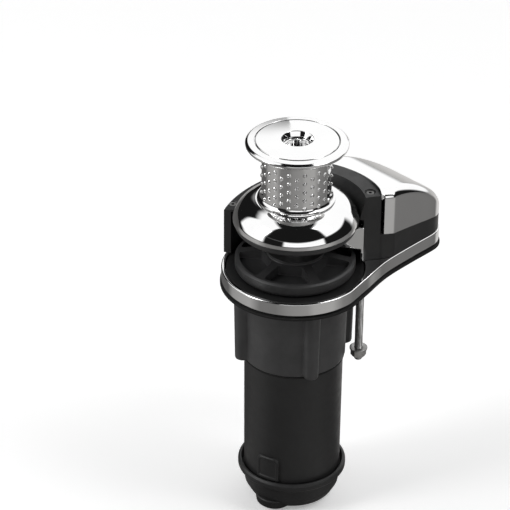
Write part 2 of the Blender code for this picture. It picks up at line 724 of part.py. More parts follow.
for k, name in enumerate(("magnet_1", "magnet_2", "magnet_3", "magnet_4")):
    a0 = 90 * k + 52
    slab(name, [arc(42.7, a0, a0 + 76, 8) + arc(30.6, a0 + 76, a0, 8)], -168.0, -92.0, "magnet")

slots = []
for i in range(9):
    a = 40.0 * i
    slots += [polar(29.4, a - 16.0), polar(29.4, a), polar(29.4, a + 16.0), polar(20.0, a + 17.0), polar(20.0, a + 23.0)]
slab("armature_core", [slots, ring(6.05, SMALL)], -164.0, -96.0, "steel")
slab("commutator", [ring(14.0, SMALL), ring(6.05, SMALL)], -188.0, -170.0, "copper")
plate_holes = [ring(15.2, SMALL)]
slab("brush_plate", [ring(42.7, MID)] + plate_holes, -194.0, -190.0, "black_plastic")
for name, s in (("brush_1", 1), ("brush_2", -1)):
    block(name, *sorted((14.4 * s, 27.0 * s)), -4.0, 4.0, -189.7, -176.0, "magnet")

end_cap = solid_lathe(
    "end_cap",
    [(0.0, -198.6), (50.6, -198.6), (CAP_RIM_R, -200.8), (CAP_RIM_R, -204.8), (50.6, -207.0), (47.4, -209.0), (45.4, -222.0), (40.4, CAP_BOTTOM), (0.0, CAP_BOTTOM)],
    DEEP, "black_paint",
)
foot = solid_lathe(
    "cut_cap_foot", [(0.0, -222.0), (19.0, -224.5), (18.0, -232.6), (15.0, -235.4), (0.0, -235.4)], SMALL, centre=(-16.0, -24.0)
)
boolean(end_cap, foot, "UNION")
cup = solid_lathe(
    "cut_cap_cup",
    [(0.0, -190.0), (49.6, -190.0), (49.0, -200.2), (47.0, -202.6), (47.0, -204.2), (41.0, -204.2), (41.0, -222.0), (16.0, -222.0), (16.0, -206.0),
     (11.1, -206.0), (11.1, -217.0), (0.0, -217.0)],
    DEEP,
)
cut(end_cap, cup)
lathe("motor_low_bearing", [(11.0, -206.2), (11.0, -215.0), (6.1, -215.0), (6.1, -206.2)], SMALL, "steel")

bpy.context.view_layer.update()
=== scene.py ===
"""Looks of the vertical anchor windlass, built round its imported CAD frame.
Lengths in the helpers are millimetres; objects are in metres in the CAD frame, with the shaft axis on Z and the deck plane at z = 0."""

import math

import bmesh
import bpy
import numpy as np
from mathutils import Matrix, Vector


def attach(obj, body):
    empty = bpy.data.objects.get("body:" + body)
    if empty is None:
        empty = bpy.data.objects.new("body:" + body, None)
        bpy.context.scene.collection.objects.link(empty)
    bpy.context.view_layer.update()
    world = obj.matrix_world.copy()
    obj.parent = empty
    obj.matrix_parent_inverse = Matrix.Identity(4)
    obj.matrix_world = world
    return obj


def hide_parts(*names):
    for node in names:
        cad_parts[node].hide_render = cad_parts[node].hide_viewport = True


MM = 0.001
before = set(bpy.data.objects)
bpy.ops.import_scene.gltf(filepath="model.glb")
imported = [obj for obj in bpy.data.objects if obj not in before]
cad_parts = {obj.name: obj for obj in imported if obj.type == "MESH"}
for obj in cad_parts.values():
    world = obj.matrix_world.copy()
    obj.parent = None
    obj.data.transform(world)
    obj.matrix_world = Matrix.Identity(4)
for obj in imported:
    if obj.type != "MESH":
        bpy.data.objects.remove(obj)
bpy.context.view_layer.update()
scene = bpy.context.scene

# ---- camera ----
ELEVATION = math.radians(31.15)
ROLL = math.radians(0.5)
level_right = Vector((1.0, 0.0, 0.0))
forward = Vector((0.0, math.cos(ELEVATION), -math.sin(ELEVATION)))
level_up = Vector((0.0, math.sin(ELEVATION), math.cos(ELEVATION)))
right = math.cos(ROLL) * level_right + math.sin(ROLL) * level_up
up = math.cos(ROLL) * level_up - math.sin(ROLL) * level_right
camera_data = bpy.data.cameras.new("camera")
camera_data.sensor_width = 36.0
camera_data.lens = 2650.0 / 510.0 * 36.0
camera_data.clip_start, camera_data.clip_end = 0.05, 40.0
camera = bpy.data.objects.new("camera", camera_data)
scene.collection.objects.link(camera)
turn = Matrix((right, up, -forward)).transposed().to_4x4()
camera.matrix_world = Matrix.Translation((-0.03740, -2.10693, 1.30150)) @ turn
scene.camera = camera
scene.view_settings.view_transform = "Standard"
scene.view_settings.look = "None"


# ---- materials ----
class Nodes:
    """Short names for the nodes of one material."""

    def __init__(self, mat):
        self.tree = mat.node_tree
        self.bsdf = self.tree.nodes["Principled BSDF"]
        self.place = self.add("ShaderNodeTexCoord").outputs["Object"]

    def add(self, kind, **values):
        node = self.tree.nodes.new(kind)
        for key, value in values.items():
            setattr(node, key, value)
        return node

    def link(self, a, b):
        self.tree.links.new(a, b)

    def stretched(self, scale):
        mapping = self.add("ShaderNodeMapping")
        mapping.inputs["Scale"].default_value = scale
        self.link(self.place, mapping.inputs["Vector"])
        return mapping.outputs["Vector"]

    def noise(self, scale, detail=3.0, rough=0.55, vector=None):
        node = self.add("ShaderNodeTexNoise")
        node.inputs["Scale"].default_value = scale
        node.inputs["Detail"].default_value = detail
        node.inputs["Roughness"].default_value = rough
        self.link(vector or self.place, node.inputs["Vector"])
        return node.outputs["Fac"]

    def cells(self, scale, feature="F1"):
        node = self.add("ShaderNodeTexVoronoi", feature=feature)
        node.inputs["Scale"].default_value = scale
        self.link(self.place, node.inputs["Vector"])
        return node.outputs["Distance"]

    def remap(self, value, a, b, c, d, smooth=False):
        node = self.add("ShaderNodeMapRange")
        if smooth:
            node.interpolation_type = "SMOOTHSTEP"
        for key, number in (("From Min", a), ("From Max", b), ("To Min", c), ("To Max", d)):
            node.inputs[key].default_value = number
        self.link(value, node.inputs["Value"])
        return node.outputs["Result"]

    def math(self, how, a, b=None, clamp=False):
        node = self.add("ShaderNodeMath", operation=how, use_clamp=clamp)
        for i, v in enumerate((a, b)):
            if v is None:
                continue
            if isinstance(v, (int, float)):
                node.inputs[i].default_value = v
            else:
                self.link(v, node.inputs[i])
        return node.outputs[0]

    def mix(self, factor, a, b):
        node = self.add("ShaderNodeMix", data_type="RGBA")
        for i, v in ((0, factor), (6, a), (7, b)):
            if isinstance(v, (int, float)):
                node.inputs[i].default_value = v
            elif isinstance(v, tuple):
                node.inputs[i].default_value = (*v, 1.0)
            else:
                self.link(v, node.inputs[i])
        return node.outputs[2]

    def bump(self, layers):
        """Bumps from (height, depth in millimetres) pairs, one on the other."""
        normal = None
        for height, depth in layers:
            node = self.add("ShaderNodeBump")
            node.inputs["Strength"].default_value = 1.0
            node.inputs["Distance"].default_value = depth * MM
            self.link(height, node.inputs["Height"])
            if normal is not None:
                self.link(normal, node.inputs["Normal"])
            normal = node.outputs["Normal"]
        self.link(normal, self.bsdf.inputs["Normal"])

    def worn_edges(self, low=0.53, high=0.60):
        point = self.add("ShaderNodeNewGeometry").outputs["Pointiness"]
        edge = self.remap(point, low, high, 0.0, 1.0, True)
        return self.math("MULTIPLY", edge, self.remap(self.noise(220.0, 5.0), 0.42, 0.66, 0.15, 1.0), True)


def material(name, metallic, **sockets):
    mat = bpy.data.materials.new(name)
    mat.use_nodes = True
    n = Nodes(mat)
    n.bsdf.inputs["Metallic"].default_value = metallic
    for key, value in sockets.items():
        n.bsdf.inputs[key.replace("_", " ")].default_value = value
    return mat, n


def chrome_look(name="polished_chrome", dull=0.0):
    mat, n = material(name, 1.0)
    haze = n.noise(38.0, 4.0)
    n.link(n.mix(haze, (0.80, 0.80, 0.805), (0.885, 0.885, 0.88)), n.bsdf.inputs["Base Color"])
    rub = n.noise(60.0, 6.0, 0.7, n.stretched((1.0, 1.0, 6.0)))
    n.link(n.remap(rub, 0.35, 0.75, 0.025 + dull, 0.085 + dull), n.bsdf.inputs["Roughness"])
    n.bump([(n.noise(900.0, 2.0), 0.0025)])
    return mat


def zinc_look(name, tone=0.50, scale=1.0, grain=(1.0, 1.0, 1.0), rough=(0.24, 0.42)):
    mat, n = material(name, 1.0)
    spangle = n.noise(260.0 * scale, 5.0, 0.65, n.stretched(grain))
    dark = tuple(tone * k for k in (0.80, 0.79, 0.77))
    light = tuple(tone * k for k in (1.22, 1.22, 1.21))
    n.link(n.mix(n.remap(spangle, 0.3, 0.7, 0.0, 1.0), dark, light), n.bsdf.inputs["Base Color"])
    n.link(n.remap(n.noise(700.0 * scale, 4.0, 0.6, n.stretched(grain)), 0.3, 0.7, *rough), n.bsdf.inputs["Roughness"])
    n.bump([(n.noise(1500.0 * scale, 3.0, 0.6, n.stretched(grain)), 0.02)])
    return mat


def paint_look(name, tone, rough=(0.34, 0.50), grain=420.0, depth=0.05, edge=0.10, coat=0.0):
    """Semi-gloss black paint on a casting: orange peel, faint mottling, rubbed edges."""
    mat, n = material(name, 0.0, Coat_Weight=coat, Coat_Roughness=0.25)
    mottle = n.noise(45.0, 5.0, 0.6)
    base = n.mix(n.remap(mottle, 0.3, 0.7, 0.0, 1.0), tuple(tone * k for k in (0.86, 0.86, 0.88)), tuple(tone * k for k in (1.16, 1.16, 1.18)))
    worn = n.math("MULTIPLY", n.worn_edges(), edge)
    n.link(n.mix(worn, base, (0.30, 0.30, 0.30)), n.bsdf.inputs["Base Color"])
    n.link(n.remap(n.noise(130.0, 5.0, 0.65), 0.3, 0.7, *rough), n.bsdf.inputs["Roughness"])
    n.bump([(n.noise(grain, 3.0, 0.5), depth), (n.noise(grain * 4.5, 2.0), depth * 0.22)])
    return mat


def plastic_look(name, tone, rough=(0.40, 0.55), grain=1500.0, depth=0.035):
    """Moulded black plastic with a fine spark-eroded grain."""
    mat, n = material(name, 0.0, Specular_IOR_Level=0.45)
    cells = n.cells(grain)
    drift = n.noise(30.0, 4.0)
    n.link(
        n.mix(n.remap(drift, 0.3, 0.7, 0.0, 1.0), tuple(tone * k for k in (0.88, 0.88, 0.90)), tuple(tone * k for k in (1.14, 1.14, 1.15))),
        n.bsdf.inputs["Base Color"],
    )
    n.link(n.remap(n.noise(90.0, 4.0), 0.3, 0.7, *rough), n.bsdf.inputs["Roughness"])
    n.bump([(cells, depth), (n.noise(grain * 0.4, 3.0), depth)])
    return mat


def rubber_look(name, tone=0.012):
    mat, n = material(name, 0.0, Specular_IOR_Level=0.3)
    dust = n.noise(160.0, 6.0, 0.7)
    n.link(n.mix(n.remap(dust, 0.5, 0.75, 0.0, 0.35), (tone, tone, tone), (0.06, 0.058, 0.055)), n.bsdf.inputs["Base Color"])
    n.link(n.remap(dust, 0.3, 0.7, 0.62, 0.82), n.bsdf.inputs["Roughness"])
    n.bump([(n.noise(1100.0, 4.0), 0.05)])
    return mat


def bronze_look(name, light=(0.72, 0.53, 0.27), dark=(0.42, 0.28, 0.12), rough=(0.22, 0.40)):
    mat, n = material(name, 1.0)
    stain = n.noise(120.0, 6.0, 0.65)
    n.link(n.mix(n.remap(stain, 0.3, 0.7, 0.0, 1.0), dark, light), n.bsdf.inputs["Base Color"])
    n.link(n.remap(n.noise(500.0, 4.0), 0.3, 0.7, *rough), n.bsdf.inputs["Roughness"])
    n.bump([(n.noise(90.0, 3.0, 0.5, n.stretched((1.0, 1.0, 30.0))), 0.02)])
    return mat


def ferrite_look(name, tone=0.07):
    mat, n = material(name, 0.35)
    grain = n.noise(900.0, 6.0, 0.75)
    n.link(n.mix(grain, (tone * 0.6,) * 3, (tone * 1.5, tone * 1.5, tone * 1.55)), n.bsdf.inputs["Base Color"])
    n.link(n.remap(grain, 0.3, 0.7, 0.42, 0.66), n.bsdf.inputs["Roughness"])
    n.bump([(grain, 0.06), (n.cells(300.0), 0.04)])
    return mat


CHROME = chrome_look()
CHROME_DRUM = chrome_look("polished_chrome_drum", 0.02)
ZINC = zinc_look("zinc_plated_steel")
ZINC_THREAD = zinc_look("zinc_plated_thread", 0.46, 1.4)
STEEL = zinc_look("machined_steel", 0.55, 0.6, (1.0, 1.0, 14.0), (0.18, 0.36))
# Screw steel with a low tone: painted shade standing in for the deep countersunk recess that the heads sit in
SCREW_PAINTED_SHADE = zinc_look("screw_steel_painted_recess_shade", 0.13, 1.0, (1.0, 1.0, 1.0), (0.25, 0.4))
GRIP = zinc_look("cast_grip", 0.78, 0.5, (1.0, 1.0, 1.0), (0.14, 0.28))
GUARD = plastic_look("moulded_guard", 0.021, (0.36, 0.50))
HOUSING = paint_look("gearbox_paint", 0.055, (0.36, 0.50))
MOTOR = paint_look("motor_paint", 0.0185, (0.38, 0.52), 520.0, 0.035, 0.06)
CAP_PAINT = paint_look("end_cap_paint", 0.017, (0.40, 0.56), 380.0, 0.06, 0.08)
GYPSY = paint_look("gypsy_coating", 0.034, (0.30, 0.46), 300.0, 0.05, 0.16)
RING_BLACK = plastic_look("base_ring_plastic", 0.014, (0.34, 0.48), 1200.0)
LINER = plastic_look("chain_pipe_plastic", 0.018, (0.45, 0.60))
RUBBER = rubber_look("gasket_rubber")
BRONZE = bronze_look("bearing_bronze")
COPPER = bronze_look("commutator_copper", (0.86, 0.46, 0.30), (0.48, 0.20, 0.11))
FERRITE = ferrite_look("magnet_ferrite")
CARBON = ferrite_look("brush_carbon", 0.035)
PHENOLIC = plastic_look("brush_plate_plastic", 0.030, (0.5, 0.65))


# ---- shapes ----
def polar(r, degrees):
    return (r * math.cos(math.radians(degrees)), r * math.sin(math.radians(degrees)))


def filleted(points, closed, support=0.25, steps=5):
    """Rounds a polyline of (x, y, radius) corners, with a point just before and after each round."""
    out = []
    n = len(points)
    for i, (x, y, radius) in enumerate(points):
        here = Vector((x, y))
        if radius <= 0 or (not closed and i in (0, n - 1)):
            out.append((x, y))
            continue
        before = Vector(points[i - 1][:2]) - here
        after = Vector(points[(i + 1) % n][:2]) - here
        a, b = before.normalized(), after.normalized()
        between = math.acos(max(-1.0, min(1.0, a.dot(b))))
        if between > math.radians(176):
            out.append((x, y))
            continue
        reach = radius / math.tan(between / 2)
        most = 0.46 * min(before.length, after.length)
        if reach > most:
            reach = most
            radius = reach * math.tan(between / 2)
        centre = here + (a + b).normalized() * (radius / math.sin(between / 2))
        start, end = here + a * reach, here + b * reach
        s0, s1 = start - centre, end - centre
        angle = math.acos(max(-1.0, min(1.0, s0.normalized().dot(s1.normalized()))))
        side = 1.0 if s0.x * s1.y - s0.y * s1.x > 0 else -1.0
        slack = min(support, 0.45 * (before.length - reach), 0.45 * (after.length - reach))
        if slack > 0.02:
            p = start + a * slack
            out.append((p.x, p.y))
        for k in range(steps + 1):
            t = side * angle * k / steps
            p = centre + Vector((s0.x * math.cos(t) - s0.y * math.sin(t), s0.x * math.sin(t) + s0.y * math.cos(t)))
            out.append((p.x, p.y))
        if slack > 0.02:
            p = end + b * slack
            out.append((p.x, p.y))
    return out


def curve_through(points, steps):
    """Catmull-Rom points through all but the first and last of those given."""
    out = []
    for i in range(1, len(points) - 2):
        p0, p1, p2, p3 = (Vector(p) for p in points[i - 1 : i + 3])
        for k in range(steps):
            t = k / steps
            v = 0.5 * (2 * p1 + (p2 - p0) * t + (2 * p0 - 5 * p1 + 4 * p2 - p3) * t**2 + (3 * p1 - p0 - 3 * p2 + p3) * t**3)
            out.append((v.x, v.y))
    out.append(tuple(points[-2]))
    return out


def offset(points, distance):
    out = []
    n = len(points)
    for i in range(n):
        a, b, c = Vector(points[i - 1]), Vector(points[i]), Vector(points[(i + 1) % n])
        d0, d1 = (b - a).normalized(), (c - b).normalized()
        n0, n1 = Vector((d0.y, -d0.x)), Vector((d1.y, -d1.x))
        m = (n0 + n1).normalized()
        out.append(tuple(b + m * (distance / max(0.5, m.dot(n0)))))
    return out


def put(name, bm, mat, body=None, stands_for=(), sharp=34.0, smooth=True):
    mesh = bpy.data.meshes.new(name)
    bmesh.ops.recalc_face_normals(bm, faces=bm.faces)
    bm.to_mesh(mesh)
    bm.free()
    obj = bpy.data.objects.new(name, mesh)
    scene.collection.objects.link(obj)
    if mat is not None:
        mesh.materials.append(mat)
    if smooth:
        mesh.shade_smooth()
        mesh.set_sharp_from_angle(angle=math.radians(sharp))
    if body:
        place(obj, body, stands_for)
    return obj


def place(obj, body, stands_for=()):
    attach(obj, body)
    if stands_for:
        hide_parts(*stands_for)


def turned(profile, segments, radius=None, centre=(0.0, 0.0)):
    """A bmesh of a turned shape from a closed (r, z) loop, or an open one that starts and ends on the axis; radius(r, z, angle) may vary it."""
    bm = bmesh.new()
    rings = []
    for r, z in profile:
        if r < 1e-6:
            rings.append([bm.verts.new((centre[0] * MM, centre[1] * MM, z * MM))])
            continue
        row = []
        for k in range(segments):
            a = 2 * math.pi * k / segments
            rr = radius(r, z, a) if radius else r
            row.append(bm.verts.new(((centre[0] + rr * math.cos(a)) * MM, (centre[1] + rr * math.sin(a)) * MM, z * MM)))
        rings.append(row)
    on_axis = len(rings[0]) == 1
    pairs = list(zip(rings, rings[1:])) + ([] if on_axis else [(rings[-1], rings[0])])
    for upper, lower in pairs:
        for k in range(segments):
            m = (k + 1) % segments
            if len(upper) == 1:
                bm.faces.new((upper[0], lower[k], lower[m]))
            elif len(lower) == 1:
                bm.faces.new((upper[k], lower[0], upper[m]))
            else:
                bm.faces.new((upper[k], lower[k], lower[m], upper[m]))
    return bm


def lathe(name, profile, segments, mat, body, stands_for, radius=None, centre=(0.0, 0.0), steps=5, sharp=34.0):
    closed = profile[0][0] > 1e-6
    return put(name, turned(filleted(profile, closed, steps=steps), segments, radius, centre), mat, body, stands_for, sharp)


def walls(loops):
    """A solid stacked from loops of (x, y, z) points with equal counts, closed at both ends."""
    bm = bmesh.new()
    rows = [[bm.verts.new(tuple(c * MM for c in p)) for p in loop] for loop in loops]
    n = len(rows[0])
    for a, b in zip(rows, rows[1:]):
        for k in range(n):
            bm.faces.new((a[k], b[k], b[(k + 1) % n], a[(k + 1) % n]))
    bm.faces.new(rows[0])
    bm.faces.new(list(reversed(rows[-1])))
    return bm


def prism(outline, z0, z1, top=0.0, bottom=0.0, steps=4):
    """An outline raised from z0 to z1 with rounded edges."""
    loops = []
    if bottom:
        for k in range(steps + 1):
            t = math.pi / 2 * k / steps
            loops.append([(x, y, z0 + bottom * (1 - math.sin(t))) for x, y in offset(outline, -bottom * (1 - math.cos(t)))])
        loops.reverse()
        loops.append([(x, y, z0 + bottom + 0.2) for x, y in outline])
    else:
        loops.append([(x, y, z0) for x, y in outline])
    if top:
        loops.append([(x, y, z1 - top - 0.2) for x, y in outline])
        for k in range(steps + 1):
            t = math.pi / 2 * k / steps
            loops.append([(x, y, z1 - top + top * math.sin(t)) for x, y in offset(outline, -top * (1 - math.cos(t)))])
    else:
        loops.append([(x, y, z1) for x, y in outline])
    return walls(loops)


def cut(obj, bm, how="DIFFERENCE"):
    """Applies a Boolean with a solid that isn't kept."""
    other = put("cutter", bm, None, smooth=False)
    mod = obj.modifiers.new("cut", "BOOLEAN")
    mod.solver = "EXACT"
    mod.operation = how
    mod.object = other
    bake(obj)
    bpy.data.objects.remove(other, do_unlink=True)


def bake(obj):
    bpy.context.view_layer.update()
    mesh = bpy.data.meshes.new_from_object(obj.evaluated_get(bpy.context.evaluated_depsgraph_get()))
    old = obj.data
    obj.modifiers.clear()
    obj.data = mesh
    bpy.data.meshes.remove(old)
    mesh.name = obj.name


def soft_edges(obj, width, segments=2, angle=32.0, sharp=34.0):
    mod = obj.modifiers.new("edge", "BEVEL")
    mod.width = width * MM
    mod.segments = segments
    mod.limit_method = "ANGLE"
    mod.angle_limit = math.radians(angle)
    mod.miter_outer = "MITER_ARC"
    bake(obj)
    finish_shade(obj, sharp)


def finish_shade(obj, sharp=34.0):
    obj.data.shade_smooth()
    obj.data.set_sharp_from_angle(angle=math.radians(sharp))
    mod = obj.modifiers.new("normals", "WEIGHTED_NORMAL")
    mod.mode = "FACE_AREA"
    mod.keep_sharp = True
    mod.weight = 100


def tapered(segments, r_bottom, r_top, z0, z1, centre=(0.0, 0.0)):
    profile = [(0.0, z1), (r_top, z1), (r_bottom, z0), (0.0, z0)]
    return turned(profile, segments, None, centre)


# ---- plate and gasket ----
PLATE_R = 69.0
GUIDE = [
    polar(PLATE_R, 312), polar(PLATE_R, 318), (60.5, -31.5), (68.0, -19.8), (75.3, -7.5), (83.0, 4.5), (92.0, 16.0),
    (103.5, 28.8), (117.0, 43.4), (129.5, 56.5), (135.6, 64.5), (138.3, 74.0), (136.5, 86.0), (129.0, 98.5),
    (117.0, 107.5), (100.0, 112.5), (80.0, 113.5), (58.0, 110.0), (36.0, 101.0), (14.0, 88.5), (-6.0, 75.5), polar(PLATE_R, 112), polar(PLATE_R, 118),
]
STUDS = ((5.0, 62.0), (75.0, 60.0), (140.0, 60.0))
CHAIN_HOLE = (97.0, 66.0)


def near_guide(points, blur=2):
    """Evens out the curvature of the outline without moving it more than a little."""
    pts = [Vector(p) for p in points]
    for _ in range(blur):
        pts = [pts[i] * 0.5 + (pts[i - 1] + pts[(i + 1) % len(pts)]) * 0.25 for i in range(len(pts))]
    return [tuple(p) for p in pts]


arc_end = [polar(PLATE_R, 112 + (318 - 112) * i / 150) for i in range(151)]
OUTLINE = near_guide(arc_end[:-1] + curve_through(GUIDE, 10)[:-1], 6)

gasket = put("gasket_skin", prism(offset(OUTLINE, 1.15), 0.0, 2.0, 0.4, 0.0, 3), RUBBER)
for bm in [tapered(96, 50.6, 50.6, -3, 5), tapered(48, 20.5, 20.5, -3, 5, CHAIN_HOLE)] + [
    tapered(24, 4.6, 4.6, -3, 5, polar(r, a)) for a, r in STUDS
]:
    cut(gasket, bm)
finish_shade(gasket)
place(gasket, "base", ("deck_gasket",))

plate_loops = []
for inset, z in [(1.9, 2.3), (1.75, 2.35), (0.35, 4.35), (0.08, 4.75), (0.0, 5.2), (0.0, 5.5), (0.0, 15.5)]:
    plate_loops.append([(x, y, z) for x, y in offset(OUTLINE, -inset)])
for k in range(6):
    t = math.pi / 2 * k / 5
    plate_loops.append([(x, y, 15.7 + 1.3 * math.sin(t)) for x, y in offset(OUTLINE, -1.3 * (1 - math.cos(t)))])
plate_loops.append([(x, y, 17.0) for x, y in offset(OUTLINE, -1.6)])
plate = put("plate_skin", walls(plate_loops), CHROME)
cut(plate, turned([(0.0, 30.0), (65.7, 30.0), (65.7, 17.0), (65.5, 16.7), (65.05, 16.35), (65.0, 16.0), (65.0, 9.0), (50.6, 9.0), (50.6, -5.0), (0.0, -5.0)], 180))
cut(plate, tapered(48, 20.0, 20.0, -5.0, 30.0, CHAIN_HOLE))
for a, r in STUDS:
    cut(plate, tapered(24, 4.2, 4.2, -5.0, 8.7, polar(r, a)))
finish_shade(plate, 40.0)
place(plate, "base", ("deck_plate",))

lathe(
    "base_ring_skin",
    [(64.55, 15.6, 0.7), (64.55, 9.3, 0.3), (15.2, 9.3, 0.2), (15.2, 14.6, 0.3), (52.0, 14.6, 1.0), (54.0, 15.6, 0.8)],
    160, RING_BLACK, "base", ("base_ring",),
)
lathe(
    "chain_pipe_skin",
    [(23.4, 19.0, 0.6), (23.4, 17.3, 0.2), (19.6, 17.3, 0.2), (19.6, -6.0, 0.6), (17.6, -6.0, 0.6), (17.6, 19.0, 1.2)],
    72, LINER, "base", ("chain_pipe_liner",), centre=CHAIN_HOLE,
)

# ---- guard ----
GUARD_R, THIN_R, START, END, TOP = 80.0, 70.6, 9.3, 161.0, 85.0


def guard_outer(degrees):
    if degrees <= 70:
        return GUARD_R
    if degrees >= 112:
        return THIN_R
    t = (degrees - 70) / 42
    t = t * t * (3 - 2 * t)
    return GUARD_R + (THIN_R - GUARD_R) * t


def rim_z(x, y):
    """Top of the dark band under the hood, which falls away from the guard."""
    return 43.0 - 0.125 * ((x - 84.2) + (y - 13.9)) * math.sqrt(0.5)


def slanted(outline, z0, top_of):
    return walls([[(x, y, z0) for x, y in outline], [(x, y, top_of(x, y)) for x, y in outline]])


inner_edge = offset(OUTLINE, -1.1)
far_edge = [p for p in inner_edge if math.hypot(*p) > GUARD_R + 3.0 and math.atan2(p[1], p[0]) > math.radians(START + 1.5)]
first = min(range(len(far_edge)), key=lambda i: math.atan2(far_edge[i][1], far_edge[i][0]))
far_edge = far_edge[first:] + far_edge[:first]

steps = 110
ring_out = [polar(guard_outer(START + (END - START) * i / steps), START + (END - START) * i / steps) for i in range(steps + 1)]
ring_in = [polar(57.0, START - 7.0 + (END - START + 7.0) * i / steps) for i in range(steps + 1)]
guard = put("guard_skin", walls([[(x, y, z) for x, y in ring_out + ring_in[::-1] + [polar(67.5, START - 0.6)]] for z in (17.3, TOP)]), GUARD)
fall = bmesh.new()
bmesh.ops.create_cube(fall, size=1.0)
bmesh.ops.scale(fall, vec=(0.110, 0.200, 0.060), verts=fall.verts)
bmesh.ops.translate(fall, vec=(-0.055, 0.040, 0.030), verts=fall.verts)
bmesh.ops.transform(fall, matrix=Matrix.Translation((0.020, 0.0, 0.0852)) @ Matrix.Rotation(math.radians(-14.6), 4, "Y").inverted().inverted(), verts=fall.verts)
cut(guard, fall)
SCREWS = ((polar(71.8, 16.8), TOP), (polar(66.2, 152.0), 65.6))
for (x, y), z in SCREWS:
    cut(guard, turned([(0.0, z + 3.0), (5.4, z + 3.0), (5.4, z + 0.4), (4.9, z - 0.6), (2.75, z - 3.4), (2.75, z - 16.0), (0.0, z - 16.0)], 40, None, (x, y)))
band_outline = [polar(66.0, 12.0), polar(GUARD_R + 3.6, START + 0.2)] + far_edge + [polar(GUARD_R - 6.0, 88.0), polar(66.0, 80.0)]
cut(guard, slanted(band_outline, 17.3, rim_z), "UNION")
deep_edge = [p for p in offset(OUTLINE, -5.6) if math.hypot(*p) > 79.0 and 15.0 < math.degrees(math.atan2(p[1], p[0])) < 77.0]
deep_edge.sort(key=lambda p: math.atan2(p[1], p[0]))
cut(guard, walls([[(x, y, z) for x, y in deep_edge + [polar(74.0, 76.0), polar(74.0, 46.0), polar(74.0, 17.0)]] for z in (10.0, 70.0)]))
cut(guard, walls([[(*polar(r, a), z) for r, a in ((56, 20), (82, 19), (82, 59), (56, 61))] for z in (19.4, 60.4)]))
cut(guard, turned([(0.0, 95.0), (68.2, 95.0), (65.0, 85.0), (59.8, 67.0), (59.8, 64.0), (63.6, 62.0), (63.6, 10.0), (0.0, 10.0)], 200))
soft_edges(guard, 0.8, 2, 34.0)
place(guard, "base", ("guard_housing",))

for name, ((x, y), z) in zip(("housing_screw_right", "housing_screw_left"), SCREWS):
    head = put(name + "_skin", turned(filleted([(0.0, z - 1.0, 0), (4.1, z - 1.0, 0.25), (2.3, z - 3.0, 0.1), (2.3, z - 14.0, 0.3), (0.0, z - 14.0, 0)], False), 36, None, (x, y)), SCREW_PAINTED_SHADE)
    cut(head, walls([[(x + 1.7 * math.cos(math.pi / 3 * k), y + 1.7 * math.sin(math.pi / 3 * k), h) for k in range(6)] for h in (z - 3.0, z + 1.0)]))
    finish_shade(head)
    place(head, "base", (name,))

# ---- hood: the tail outline under a long arch, its shoulder rounded where it meets the side ----
HOOD_LINE, HOOD_CREST, HOOD_TOP, HOOD_R, HOOD_TILT = math.radians(40.0), 66.0, 87.3, 121.0, 0.045
SHOULDER = 10.0


def arch_z(x, y):
    s = x * math.cos(HOOD_LINE) + y * math.sin(HOOD_LINE)
    q = -x * math.sin(HOOD_LINE) + y * math.cos(HOOD_LINE)
    return HOOD_TOP - (HOOD_R - math.sqrt(max(0.0, HOOD_R**2 - (s - HOOD_CREST) ** 2))) - HOOD_TILT * (q + 10.0)


def spaced(points, count):
    """The same line with evenly spaced points."""
    pts = np.array(points, float)
    run = np.concatenate([[0.0], np.cumsum(np.linalg.norm(np.diff(pts, axis=0), axis=1))])
    at = np.linspace(0.0, run[-1], count)
    return np.stack([np.interp(at, run, pts[:, i]) for i in (0, 1)], axis=1)


AROUND = 220
side = spaced([polar(GUARD_R + 3.6, START + 0.25)] + far_edge, AROUND)
back = np.array([polar(GUARD_R + 0.35, START + 0.35 + (83.0 - START) * (i / (AROUND - 1))) for i in range(AROUND)])


def to_side(p):
    a, b = side[:-1], side[1:]
    ab = b - a
    t = np.clip(((p - a) * ab).sum(1) / (ab**2).sum(1), 0.0, 1.0)
    return float(np.sqrt((((a + ab * t[:, None]) - p) ** 2).sum(1)).min())


def hood_top(p):
    t = min(SHOULDER, to_side(p))
    return arch_z(*p) - (SHOULDER - math.sqrt(max(0.0, SHOULDER**2 - (SHOULDER - t) ** 2)))


across = [0.0]
for width in [0.12, 0.2, 0.3, 0.4, 0.5, 0.6, 0.7, 0.8, 0.9, 1.0, 1.1, 1.2, 1.4]:
    across.append(across[-1] + width)
bm = bmesh.new()
grid = []
for x, y in side:
    low, high = rim_z(x, y) + 0.3, hood_top(np.array((x, y)))
    grid.append([(x, y, low + (high - low) * t) for t in (0.0, 0.012, 0.25, 0.5, 0.75, 0.93)])
for k in range(AROUND):
    s, b = side[k], back[k]
    length = float(np.linalg.norm(b - s))
    unit = (b - s) / max(length, 1e-6)
    reach = min(1.0, length / 16.0)
    stops = [d * reach for d in across]
    rest = max(0.0, length - stops[-1])
    stops += [stops[-1] + rest * (i / 14) for i in range(1, 15)]
    for d in stops:
        p = s + unit * d
        grid[k].append((p[0], p[1], hood_top(p)))
verts = [[bm.verts.new(tuple(c * MM for c in p)) for p in line] for line in grid]
for one, two in zip(verts, verts[1:]):
    for k in range(len(one) - 1):
        bm.faces.new((one[k], one[k + 1], two[k + 1], two[k]))
bmesh.ops.remove_doubles(bm, verts=bm.verts, dist=0.00002)
hood = put("hood_skin", bm, CHROME, sharp=50.0)
up_faces = sum(p.normal.z * p.area for p in hood.data.polygons)
if up_faces < 0:
    hood.data.flip_normals()
shell = hood.modifiers.new("wall", "SOLIDIFY")
shell.thickness = 2.6 * MM
shell.offset = -1.0
shell.use_even_offset = False
bake(hood)
hood.data.shade_smooth()
hood.data.set_sharp_from_angle(angle=math.radians(50))
place(hood, "base", ("chain_hood",))

